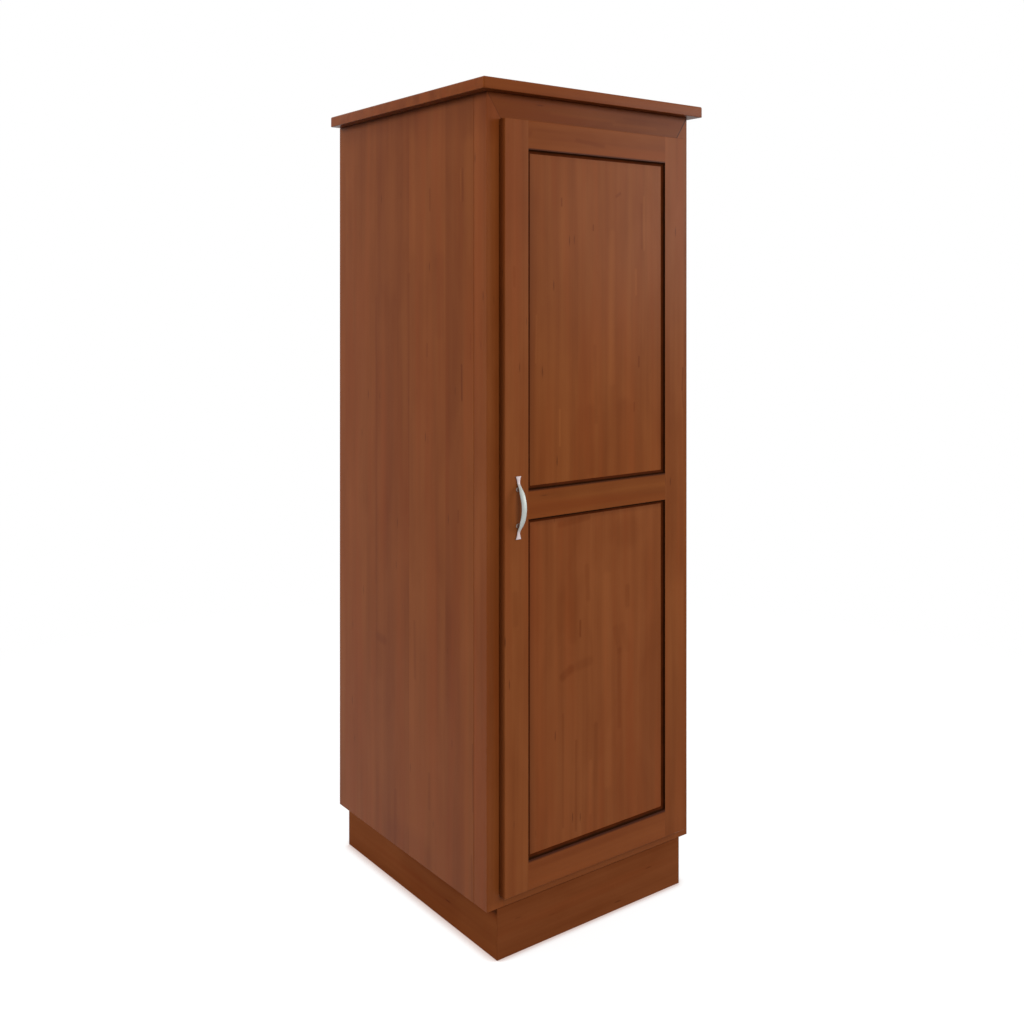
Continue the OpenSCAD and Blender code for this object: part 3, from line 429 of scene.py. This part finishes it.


# Brushed and plated metals: fine scratches along one axis, with cloudier patches in the gloss. Ends, where
# given, are a painted reflection of the warm wood towards both ends of a node: a second shade, the node, and
# how far up and down from its middle that shade starts and is full.
metalGrain = {
    "scratch": 0.4 * mm, "stretch": 25.0, "cloud": 12 * mm, "duller": 0.88, "cloudShare": 0.5,
    "scratchShare": 0.3, "smoother": 0.06, "roughCloud": 0.08, "roughScratch": 0.06, "bump": 0.02 * mm,
}
metals = {
    # The satin nickel's warmer ends are a painted reflection of the wood
    "satin_nickel": {"shade": (0.480, 0.505, 0.478), "roughness": 0.56,
                     "ends": ((0.545, 0.468, 0.468), "pull_handle", 40 * mm, 54 * mm)},
    # The posts' dark, brownish nickel is painted shade and a painted reflection of the door
    "post_nickel": {"shade": (0.28, 0.21, 0.18), "roughness": 0.45},
    "rod_nickel": {"shade": (0.74, 0.73, 0.70), "roughness": 0.24, "brushed": "x"},
    "plated_steel": {"shade": (0.62, 0.61, 0.60), "roughness": 0.30},
    "screw_steel": {"shade": (0.60, 0.58, 0.54), "roughness": 0.32, "bump": 0.1},
}


def metalMaterial(name, shade, roughness, brushed="z", bump=0.2, ends=None):
    material, start, x, y, z = newMaterial(name)
    size = metalGrain
    long = {axis: size["stretch"] if axis == brushed else 1.0 for axis in "xyz"}
    place = vector(*(wire / (size["scratch"] * long[axis]) for axis, wire in zip("xyz", (x, y, z))))
    scratch = noiseAt(place, detail=3.0, roughness=0.6)
    cloud = evenNoise((x, y, z), size["cloud"], 2.0)
    dulled = cloud * size["cloudShare"] + scratch * size["scratchShare"]
    base = mixColour(dulled, toned(shade), toned(shade, size["duller"]))
    # Painted reflection: the ends take a warmer, pinker shade, as if they mirrored the wood
    if ends:
        reflectedShade, node, near, far = ends
        middle = (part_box(node)[0][2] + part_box(node)[1][2]) / 2
        away = start.maths("ABSOLUTE", z - middle)
        base = mixColour(smoothBetween(away, near, far), base, toned(reflectedShade))
    rough = (roughness - size["smoother"]) + cloud * size["roughCloud"] + scratch * size["roughScratch"]
    finishWith(start, {"Base Color": base, "Metallic": 1.0, "Roughness": rough,
                       "Normal": bumpOf(scratch, size["bump"], bump)})
    return material


# Plastic, ferrite and felt: even grains that make the shade darker or paler and the gloss uneven
plainGrain = {"darker": 0.85, "paler": 1.15, "rough": 0.1, "specular": 0.35, "bumpStrength": 0.5}
plains = {
    "catch_plastic": {"shade": (0.075, 0.036, 0.020), "roughness": 0.42, "grain": 0.8 * mm,
                      "bump": 0.03 * mm},
    "magnet_ferrite": {"shade": (0.045, 0.045, 0.048), "roughness": 0.50, "grain": 0.5 * mm,
                       "bump": 0.03 * mm},
    "wool_felt": {"shade": (0.16, 0.085, 0.045), "roughness": 0.95, "grain": 0.35 * mm, "bump": 0.25 * mm},
}


def plainMaterial(name, shade, roughness, grain, bump):
    material, start, x, y, z = newMaterial(name)
    look = plainGrain
    grains = evenNoise((x, y, z), grain, 3.0)
    base = mixColour(grains, toned(shade, look["darker"]), toned(shade, look["paler"]))
    rough = roughness - look["rough"] / 2 + grains * look["rough"]
    finishWith(start, {"Base Color": base, "Roughness": rough, "Specular IOR Level": look["specular"],
                       "Normal": bumpOf(grains, bump, look["bumpStrength"])})
    return material


materials["dark_glaze"] = glazeMaterial("dark_glaze")
for name, look in metals.items():
    materials[name] = metalMaterial(name, **look)
for name, look in plains.items():
    materials[name] = plainMaterial(name, **look)

# The hinges are plated steel, and whatever isn't named here is a steel screw
finishOf = {
    "panel_bead_upper": "dark_glaze", "panel_bead_lower": "dark_glaze", "pull_handle": "satin_nickel",
    "clothes_rod": "rod_nickel", "rod_socket_left": "rod_nickel", "rod_socket_right": "rod_nickel",
    "door_bumpers": "wool_felt", "catch_upper": "catch_plastic", "catch_lower": "catch_plastic",
}
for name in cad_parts:
    if name in boards:
        continue
    plated = name.startswith("hinge_") and not name.endswith("screws")
    coat(name, "plated_steel" if plated else finishOf.get(name, "screw_steel"))
print("fittings finished")


# Meshes: a surface is a grid of points over two parameters, worked out as whole arrays

# Faces of a closed tube with flat ends, on a grid whose rows are rings, numbered row by row. They point
# outwards where the columns turn about the rows' direction as a right-handed screw does.
def tubeFaces(rows, columns):
    r, c = np.arange(rows - 1)[:, None], np.arange(columns)[None, :]
    right, last = (c + 1) % columns, (rows - 1) * columns
    corners = [r * columns + c, r * columns + right, (r + 1) * columns + right, (r + 1) * columns + c]
    faces = np.stack(np.broadcast_arrays(*corners), -1).reshape(-1, 4).tolist()
    return faces + [list(range(columns))[::-1], list(range(last, last + columns))]


# Joins several grids of points, with their faces, into one list of each
def joined(parts):
    points, faces, offset = [], [], 0
    for some, theirs in parts:
        points.append(some.reshape(-1, 3))
        faces += [[int(i) + offset for i in face] for face in theirs]
        offset += len(points[-1])
    return np.concatenate(points), faces


# A turned solid: each row of the profile is a distance along the axis and a radius, and dips, where given,
# is how far each point of the first rows is pressed in. A point is the start, plus its distance and dip
# forward, plus its radius times the cosine of its angle one way and the sine the other.
def turned(start, forward, profile, sides, dips=None):
    forward = np.array(forward, dtype=float)
    first = np.roll(forward, 1)
    second = np.cross(forward, first)
    angle = np.arange(sides) * 2 * math.pi / sides
    along = np.repeat(profile[:, :1], sides, axis=1)
    if dips is not None:
        along[:len(dips)] += dips
    around = np.cos(angle)[:, None] * first + np.sin(angle)[:, None] * second
    points = np.array(start) + along[..., None] * forward + profile[:, 1, None, None] * around
    return points, tubeFaces(len(profile), sides)


# A board or plate with round edges: its edge's section, a quarter round below, a flat and a quarter round
# above, is carried round an outline with round corners. At angle t of a round, a ring of points lies in from
# the edge by radius * (1 - sin t) below or radius * (1 - cos t) above, and so do its corners' arcs.
def roundedSlab(low, high, lowerRound, upperRound, corner, steps):
    low, high = np.array(low), np.array(high)
    centre, half, turn = (low + high) / 2, (high - low) / 2, np.linspace(0, math.pi / 2, steps)
    rise, fall = 1 - np.cos(turn), 1 - np.sin(turn)
    inset = np.concatenate([lowerRound * fall, upperRound * rise])[:, None]
    height = np.concatenate([low[2] + lowerRound * rise, high[2] - upperRound * fall])
    angle = np.concatenate([turn + quarter * math.pi / 2 for quarter in range(4)])
    signs = np.repeat([[1, 1], [-1, 1], [-1, -1], [1, -1]], steps, axis=0)
    x = centre[0] + signs[:, 0] * (half[0] - corner) + (corner - inset) * np.cos(angle)
    y = centre[1] + signs[:, 1] * (half[1] - corner) + (corner - inset) * np.sin(angle)
    return np.stack([x, y, np.broadcast_to(height[:, None], x.shape)], -1), tubeFaces(*x.shape)


# A new piece in the place of CAD nodes. An edge sharper than sharp, in degrees, stays crisp, and kinds,
# where given, is the number of each face's finish.
def addPiece(name, points, faces, finishes, body, replaced, sharp=30.0, kinds=None):
    mesh = bpy.data.meshes.new(name)
    mesh.from_pydata(points.tolist(), [], faces)
    for finish in finishes:
        mesh.materials.append(materials[finish])
    if kinds is not None:
        mesh.polygons.foreach_set("material_index", np.array(kinds, dtype=np.int32))
    mesh.shade_smooth()
    mesh.set_sharp_from_angle(angle=math.radians(sharp))
    piece = bpy.data.objects.new(name, mesh)
    bpy.context.scene.collection.objects.link(piece)
    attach(piece, body)
    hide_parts(*replaced)
    return piece


# Top: the board with eased edges
topBoard = {"lowerRound": 1.5 * mm, "upperRound": 4 * mm, "corner": 4.5 * mm, "steps": 8}
points, faces = roundedSlab(*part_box("top_panel"), **topBoard)
addPiece("top_board", points.reshape(-1, 3), faces, ["top_panel"], "case", ["top_panel"])

# Beads: a section with two small lands and a hollow between them is carried along each side of a panel and
# cut to a mitre at both ends, because every point's run starts and stops at its own distance from the frame.
bead = {"width": 8 * mm, "land": 0.8 * mm, "hollow": 7 * mm, "steps": 14, "mitreGap": 0.06 * mm, "sharp": 35}


# The section, as distances from the frame and from the outer face. The hollow is an arc through the ends of
# both lands, whose centre lies off the middle between them by the root of hollow^2 - half^2.
def beadSection(width, depth):
    a, b = np.array([bead["land"], 0.0]), np.array([width, depth - bead["land"]])
    half = np.linalg.norm(b - a) / 2
    towards = np.array([b[1] - a[1], a[0] - b[0]]) / (2 * half)
    centre = (a + b) / 2 + towards * math.sqrt(bead["hollow"] ** 2 - half ** 2)
    start, stop = (math.atan2(*(p - centre)[::-1]) for p in (a, b))
    turn = np.linspace(start, stop, bead["steps"])
    hollow = centre + bead["hollow"] * np.stack([np.cos(turn), np.sin(turn)], -1)
    return np.concatenate([[[0.0, depth], [width, depth]], hollow[::-1], [[0.0, 0.0]]])


def buildBead(name):
    low, high = (np.array(corner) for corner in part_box(name))
    wide, deep, tall = high - low
    section = beadSection(bead["width"], deep)
    inward, depth = section[:, 0], section[:, 1]
    gap, parts = bead["mitreGap"], []
    sides = [((low[0], low[2]), (1, 0), (0, 1), wide), ((high[0], low[2]), (0, 1), (-1, 0), tall),
             ((high[0], high[2]), (-1, 0), (0, -1), wide), ((low[0], high[2]), (0, -1), (1, 0), tall)]
    for corner, run, inside, length in sides:
        stations = np.stack([inward + gap, length - inward - gap])
        x = corner[0] + run[0] * stations + inside[0] * inward
        z = corner[1] + run[1] * stations + inside[1] * inward
        points = np.stack([x, np.broadcast_to(low[1] + depth, x.shape), z], -1)
        parts.append((points, tubeFaces(2, len(section))))
    points, faces = joined(parts)
    addPiece(name + "_moulding", points, faces, ["dark_glaze"], "door", [name], bead["sharp"])


for name in ("panel_bead_upper", "panel_bead_lower"):
    buildBead(name)

# Pull: an oval section carried along an arch. With u = 1 - (2a / span)^2 at distance a from the middle, the
# arch's height is rise * (u + sqrt(u^2 + blend^2)) / 2, a parabola that runs smoothly into the flat feet.
# From the necks at the ends of the span the grip gains its width over span / widthEase and its thickness
# over span / thickEase, and the feet widen by the power flare. Post: mm from the door, and radius.
pull = {
    "length": 131 * mm, "span": 100 * mm, "rise": 20 * mm, "blend": 0.08, "gripWidth": 12.5 * mm,
    "gripThick": 6 * mm, "neck": 7 * mm, "foot": 14.5 * mm, "footThick": 3.6 * mm, "flare": 2.2,
    "widthEase": 4, "thickEase": 3, "square": 0.86, "rings": 120, "sides": 40, "endRound": 0.7 * mm,
    "endSteps": 6, "postPitch": 76 * mm, "postSides": 32,
    "post": ((0, 5.0), (0.3, 5.2), (0.9, 5.0), (1.5, 4.2), (3.0, 3.68)),
}
crisp = 40  # degrees, for the pull and the fittings


def pullArch(a):
    u = 1 - (2 * a / pull["span"]) ** 2
    return pull["rise"] * (u + np.sqrt(u * u + pull["blend"] ** 2)) / 2


# 0 up to 0, 1 from 1 on, and 3t^2 - 2t^3 between
def easeStep(t):
    t = np.clip(t, 0, 1)
    return t * t * (3 - 2 * t)


# A sine or cosine raised to the power square, with its sign, which makes the round section a little fuller
def fuller(wave):
    return np.sign(wave) * np.abs(wave) ** pull["square"]


def buildPull():
    size, half, edge = pull, pull["length"] / 2, pull["endRound"]
    low, high = (np.array(corner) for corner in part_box("pull_handle"))
    middle = (low + high) / 2

    # Places along the pull, with the round of both ends, and how far the section is drawn in there
    turn = np.linspace(math.pi / 2, 0, size["endSteps"])
    ends = half - edge + edge * np.sin(turn)
    z = np.concatenate([-ends, np.linspace(-half + edge, half - edge, size["rings"])[1:-1], ends[::-1]])
    inset = edge * (1 - np.cos(turn))
    inset = np.concatenate([inset, np.zeros(size["rings"] - 2), inset[::-1]])[:, None]

    a = np.abs(z)
    inside = size["span"] / 2 - a
    wider, thicker = (easeStep(inside / (size["span"] / size[ease])) for ease in ("widthEase", "thickEase"))
    flare = np.maximum(0, -inside / (half - size["span"] / 2)) ** size["flare"]
    width = size["neck"] + (size["gripWidth"] - size["neck"]) * wider + (size["foot"] - size["neck"]) * flare
    thick = size["footThick"] + (size["gripThick"] - size["footThick"]) * thicker
    slope = np.gradient(pullArch(a), z)[:, None]
    tilt = np.sqrt(1 + slope ** 2)

    # The section stands square to the arch, so its thickness t leans by the slope
    phi = -np.arange(size["sides"]) * 2 * math.pi / size["sides"]
    x = middle[0] + (width[:, None] / 2 - inset) * fuller(np.cos(phi))
    t = (thick[:, None] / 2 - inset) * fuller(np.sin(phi))
    feetMiddle = low[1] + size["gripThick"] / 2 + pullArch(0.0)
    y = feetMiddle - pullArch(a)[:, None] - t / tilt
    along = middle[2] + z[:, None] - t * slope / tilt
    bow = (np.stack([x, y, along], -1), tubeFaces(*x.shape))

    # Posts: a turned profile with a small collar at the door, from the door's face up into the arch
    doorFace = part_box("door_stile_left")[0][1]
    reach = pullArch(size["postPitch"] / 2) + size["footThick"] / 2
    profile = np.array(size["post"]) * mm
    profile = np.append(profile, [[reach, profile[-1, 1]]], axis=0)
    places = [(middle[0], doorFace, middle[2] + side * size["postPitch"] / 2) for side in (-1, 1)]
    posts = [turned(place, (0, -1, 0), profile, size["postSides"]) for place in places]
    points, faces = joined([bow, *posts])
    kinds = [0] * len(bow[1]) + [1] * (len(faces) - len(bow[1]))
    # The posts take the darker nickel, which is painted shade
    addPiece("bow_pull", points, faces, ["satin_nickel", "post_nickel"], "door", ["pull_handle"],
             crisp, kinds)


buildPull()
print("top, beads and pull built")


# Fittings in the places of the CAD ones. A node's separate solids are found by merging its corners and
# giving each corner the lowest number that it can reach through the triangles.
mergeStep = 0.002 * mm


def solidsOf(name):
    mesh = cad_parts[name].data
    mesh.calc_loop_triangles()
    points = np.empty(3 * len(mesh.vertices))
    mesh.vertices.foreach_get("co", points)
    triangles = np.empty(3 * len(mesh.loop_triangles), dtype=np.int32)
    mesh.loop_triangles.foreach_get("vertices", triangles)
    kept, merged = np.unique(np.round(points.reshape(-1, 3) / mergeStep), axis=0, return_inverse=True)
    triangles = merged.reshape(-1)[triangles].reshape(-1, 3)
    label, before = np.arange(len(kept)), None
    while before is None or (label != before).any():
        before = label.copy()
        np.minimum.at(label, triangles, before[triangles].min(axis=1)[:, None])
    solids = []
    for solid in np.unique(label):
        used, faces = np.unique(triangles[label[triangles[:, 0]] == solid], return_inverse=True)
        solids.append((kept[used] * mergeStep, faces.reshape(-1, 3)))
    return solids


# Screw: the CAD screw's own profile below a face on a polar grid, with a cross pressed into it. With r the
# distance from the axis and s that from the nearer arm's middle line, both in radii of the head, the cross
# is depth * (1 - r / reach)^taper deep where s is under armHalf, with a soft edge. The profile is read step
# by step from the CAD points outside axisGap, and gets two radii where one step's points spread over ledge.
screw = {
    "sides": 64, "rings": 12, "innermost": 0.05, "depth": 0.95 * mm, "reach": 0.66, "taper": 0.6,
    "armHalf": 0.12, "soft": 0.10 * mm, "round": 0.12 * mm, "step": 0.05 * mm, "ledge": 0.2 * mm,
    "axisGap": 0.1 * mm, "leastPoints": 60, "outOfRound": 0.1 * mm, "rim": 0.99, "panCrown": 0.5 * mm,
}


# A solid is a screw where it has many points and is as wide as it is deep
def isScrew(points):
    size = np.sort(points.max(0) - points.min(0))
    return len(points) > screw["leastPoints"] and size[1] - size[0] < screw["outOfRound"]


def crossScrew(points, crown=0.0):
    size, low, high = screw, points.min(0), points.max(0)
    start, axis = (low + high) / 2, int(np.argmax(high - low))
    radius = np.linalg.norm(np.delete(points - start, axis, axis=1), axis=1)

    # The head is at the end that its widest points are nearer to
    widest = points[radius > radius.max() * size["rim"], axis].mean()
    fromLow = widest < start[axis]
    start[axis] = (low if fromLow else high)[axis]
    forward = np.eye(3)[axis] * (1 if fromLow else -1)

    rows = []
    depth = np.round(np.abs(points[:, axis] - start[axis]) / size["step"]).astype(int)
    for step in np.unique(depth):
        here = radius[(depth == step) & (radius > size["axisGap"])]
        edges = [here.max(), here.min()] if np.ptp(here) > size["ledge"] else [here.max()]
        rows += [(step * size["step"], edge) for edge in edges]

    head = rows[0][1]
    r = np.append(np.linspace(size["innermost"], 1, size["rings"]) * (head - size["round"]), head)[:, None]
    angle = np.arange(size["sides"]) * 2 * math.pi / size["sides"]
    aside = np.minimum(np.abs(r * np.sin(angle)), np.abs(r * np.cos(angle)))
    arm = 1 - easeStep((aside - size["armHalf"] * head + size["soft"]) / (2 * size["soft"]))
    dips = size["depth"] * arm * np.clip(1 - r / (size["reach"] * head), 0, 1) ** size["taper"]
    face = np.concatenate([crown * (r / head) ** 2, r], axis=1)
    face[-1, 0] += size["round"]
    return turned(start, forward, np.concatenate([face, rows[1:]]), size["sides"], dips)


# Every screw of a node made anew, with the node's other solids as they are
def buildScrews(name, body, crown=0.0):
    solids = solidsOf(name)
    parts = [crossScrew(points, crown) if isScrew(points) else (points, faces) for points, faces in solids]
    points, faces = joined(parts)
    addPiece(name + "_crossed", points, faces, ["screw_steel"], body, [name], crisp)


screwBodies = {
    "top_screws": "case", "cleat_screws": "case", "rod_socket_screws": "case", "back_panel_screws": "case",
    "hinge_frame_screws": "case", "hinge_door_screws": "door", "catch_strikes": "door",
}
for name, body in screwBodies.items():
    buildScrews(name, body)
buildScrews("pull_screws", "door", screw["panCrown"])

# Felt pads: discs with a quarter round towards the frame, whose radius at the height rise is the pad's, less
# the rim, plus the root of rim^2 - rise^2. Two more rings lie on the flat face, at shares of the radius.
feltPad = {"rim": 0.5 * mm, "sides": 48, "steps": 6, "flatRings": (0.7, 0.2)}


def buildPads():
    parts, size, rim = [], feltPad, feltPad["rim"]
    for points, _ in solidsOf("door_bumpers"):
        low, high = points.min(0), points.max(0)
        radius, thick = (high[0] - low[0]) / 2, high[1] - low[1]
        rise = np.linspace(0, rim, size["steps"])
        rounded = np.stack([thick - rim + rise, radius - rim + np.sqrt(rim ** 2 - rise ** 2)], -1)
        flat = [(thick, radius * share) for share in size["flatRings"]]
        profile = np.concatenate([[(0.0, radius)], rounded, flat])
        place = ((low[0] + high[0]) / 2, low[1], (low[2] + high[2]) / 2)
        parts.append(turned(place, (0, 1, 0), profile, size["sides"]))
    points, faces = joined(parts)
    addPiece("felt_pads", points, faces, ["wool_felt"], "door", ["door_bumpers"], crisp)


buildPads()

# Catch magnets: a ferrite block that stands back between two pole plates, shorter than they are and a little
# clear of them, each a slab with round edges
magnet = {
    "plate": 1.5 * mm, "back": 0.6 * mm, "short": 0.4 * mm, "clear": 0.02 * mm, "edge": 0.3 * mm,
    "corner": 0.36 * mm, "steps": 4,
}


def magnetSlab(low, high):
    return roundedSlab(low, high, magnet["edge"], magnet["edge"], magnet["corner"], magnet["steps"])


def buildMagnets():
    parts, kinds, size = [], [], magnet
    for points, _ in solidsOf("catch_magnets"):
        if isScrew(points):
            made = [(crossScrew(points), 0)]
        else:
            low, high = points.min(0), points.max(0)
            inward = np.array([size["plate"] + size["clear"], 0, size["short"]])
            made = [(magnetSlab(low, (low[0] + size["plate"], high[1], high[2])), 0),
                    (magnetSlab((high[0] - size["plate"], low[1], low[2]), high), 0),
                    (magnetSlab(low + inward + (0, size["back"], 0), high - inward), 1)]
        for shape, kind in made:
            parts.append(shape)
            kinds += [kind] * len(shape[1])
    points, faces = joined(parts)
    addPiece("catch_poles", points, faces, ["screw_steel", "magnet_ferrite"], "case", ["catch_magnets"],
             crisp, kinds)


buildMagnets()
print("screws, pads and magnets built")


# Stage: a white floor that keeps the shadow, and a white surround. What the camera, metal or glass sees of
# them is white; what lights the object is the plain level of the world and three lamps.

studio = {
    "domeHigh": 0.45, "domeLow": 0.16, "domeRise": (-0.1, 0.8), "floorShown": 0.35, "floorGlow": 0.80,
    "floorBounce": 0.16, "fade": (1.3, 2.6), "floorHalf": 14.0, "floorDrop": 0.2 * mm, "shadeSamples": 8,
    "shadeReach": 0.036, "shadeOpen": (0.45, 0.93), "shadeColour": (0.64, 0.51, 0.47, 1.0),
    "shadeFront": 0.10, "frontStep": 20 * mm,
}
colourWhite = (1.0, 1.0, 1.0, 1.0)
colourBlack = (0.0, 0.0, 0.0, 1.0)


def seenRays(start):
    rays = [start.node("ShaderNodeLightPath", output=name)
            for name in ("Is Camera Ray", "Is Glossy Ray", "Is Transmission Ray")]
    return start.maths("MINIMUM", rays[0] + rays[1] + rays[2], 1.0)


def buildWorld():
    world = bpy.data.worlds.new("studio")
    world.use_nodes = True
    world.node_tree.nodes.clear()
    start = Wire(world.node_tree)
    place = start.node("ShaderNodeTexCoord", output="Generated")
    up = start.node("ShaderNodeSeparateXYZ", None, {0: place}, output=2)
    rise = smoothBetween(up, *studio["domeRise"])
    level = studio["domeLow"] + rise * (studio["domeHigh"] - studio["domeLow"])
    seen = seenRays(start)
    strength = seen + (1 - seen) * level
    shader = start.node("ShaderNodeBackground", None, {"Color": colourWhite, "Strength": strength})
    start.node("ShaderNodeOutputWorld", None, {"Surface": shader})
    bpy.context.scene.world = world


def buildFloor():
    material, start, x, y, _ = newMaterial("studio_floor")
    seen = seenRays(start)
    far = smoothBetween(start.maths("SQRT", x * x + y * y), *studio["fade"])

    # Close to whatever stands on it the floor is shaded, with a little of the wood's colour in the shade,
    # and less so in front, where the front lamp looks into the corner
    openness = start.node("ShaderNodeAmbientOcclusion", {"samples": studio["shadeSamples"]},
                          {"Distance": studio["shadeReach"]}, output="AO")
    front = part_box("plinth_front")[0][1]
    behind = smoothBetween(y, front - studio["frontStep"], front)
    shading = (1 - smoothBetween(openness, *studio["shadeOpen"])) * (
        studio["shadeFront"] + behind * (1 - studio["shadeFront"]))
    shade = mixColour(shading, colourWhite, studio["shadeColour"])
    dimmed = shade.node("ShaderNodeMix", {"data_type": "RGBA"},
                        {0: studio["floorShown"], 6: colourBlack, 7: shade}, output=2)
    matt = start.node("ShaderNodeBsdfDiffuse", None, {"Color": dimmed})
    bounce = start.node("ShaderNodeBsdfDiffuse", None, {"Color": (studio["floorBounce"],) * 3 + (1.0,)})
    glow = start.node("ShaderNodeEmission", None, {"Color": shade, "Strength": studio["floorGlow"]})
    white = start.node("ShaderNodeEmission", None, {"Color": colourWhite, "Strength": 1.0})
    lit = start.node("ShaderNodeAddShader", None, {0: matt, 1: glow})
    shown = start.node("ShaderNodeMixShader", None, {0: far, 1: lit, 2: white})
    both = start.node("ShaderNodeMixShader", None, {0: seen, 1: bounce, 2: shown})
    start.node("ShaderNodeOutputMaterial", None, {"Surface": both})
    half, down = studio["floorHalf"], -studio["floorDrop"]
    corners = [(-half, -half, down), (half, -half, down), (half, half, down), (-half, half, down)]
    mesh = bpy.data.meshes.new("floor")
    mesh.from_pydata(corners, [], [(0, 1, 2, 3)])
    mesh.materials.append(material)
    floor = bpy.data.objects.new("floor", mesh)
    bpy.context.scene.collection.objects.link(floor)


buildWorld()
buildFloor()

# Lamp: where it stands, what it points at, its width, height and power, and whether gloss shows it. The
# large soft ones would lay a grey veil over the varnish, so only the key is seen in it.
lamps = {
    "key_right": ((3.35, -2.8, 2.1), (0.0, -0.3, 1.1), 1.7, 1.7, 62.0, True),
    "front_soft": ((-1.2, -7.0, 3.6), (0.0, -0.3, 1.0), 3.6, 3.6, 290.0, False),
    "fill_left": ((-7.0, 4.0, 4.2), (-0.3, 0.0, 1.0), 3.6, 3.6, 575.0, False),
}


# The turn that points a lamp at its target: a tilt from straight down, then a turn about the upright
def pointedAt(spot, target):
    away = np.array(spot) - np.array(target)
    turn = math.atan2(away[1], away[0]) + math.pi / 2
    return (math.atan2(math.hypot(away[0], away[1]), away[2]), 0.0, turn)


for name, (spot, target, width, height, power, inGloss) in lamps.items():
    lamp = bpy.data.lights.new(name, "AREA")
    lamp.shape, lamp.size, lamp.size_y, lamp.energy = "RECTANGLE", width, height, power
    holder = bpy.data.objects.new(name, lamp)
    holder.location, holder.rotation_euler = spot, pointedAt(spot, target)
    holder.visible_glossy = inGloss
    bpy.context.scene.collection.objects.link(holder)

# Camera: level, with the lens and the shift that the photograph's edges give. Pixels, metres and degrees.
view = {
    "size": 1024, "focal": 1136.3, "centreX": 511.7, "horizonY": 300.9, "sensor": 36.0,
    "place": (-1.6532, -2.2017, 1.3707), "turn": -36.79,
}
camera = bpy.data.cameras.new("camera")
camera.sensor_width = view["sensor"]
camera.lens = view["sensor"] * view["focal"] / view["size"]
camera.shift_x = 0.5 - view["centreX"] / view["size"]
camera.shift_y = view["horizonY"] / view["size"] - 0.5
cameraHolder = bpy.data.objects.new("camera", camera)
cameraHolder.location = view["place"]
cameraHolder.rotation_euler = (math.pi / 2, 0.0, math.radians(view["turn"]))
bpy.context.scene.collection.objects.link(cameraHolder)
bpy.context.scene.camera = cameraHolder
bpy.context.scene.view_settings.view_transform = "Standard"
print("stage, lamps and camera set")
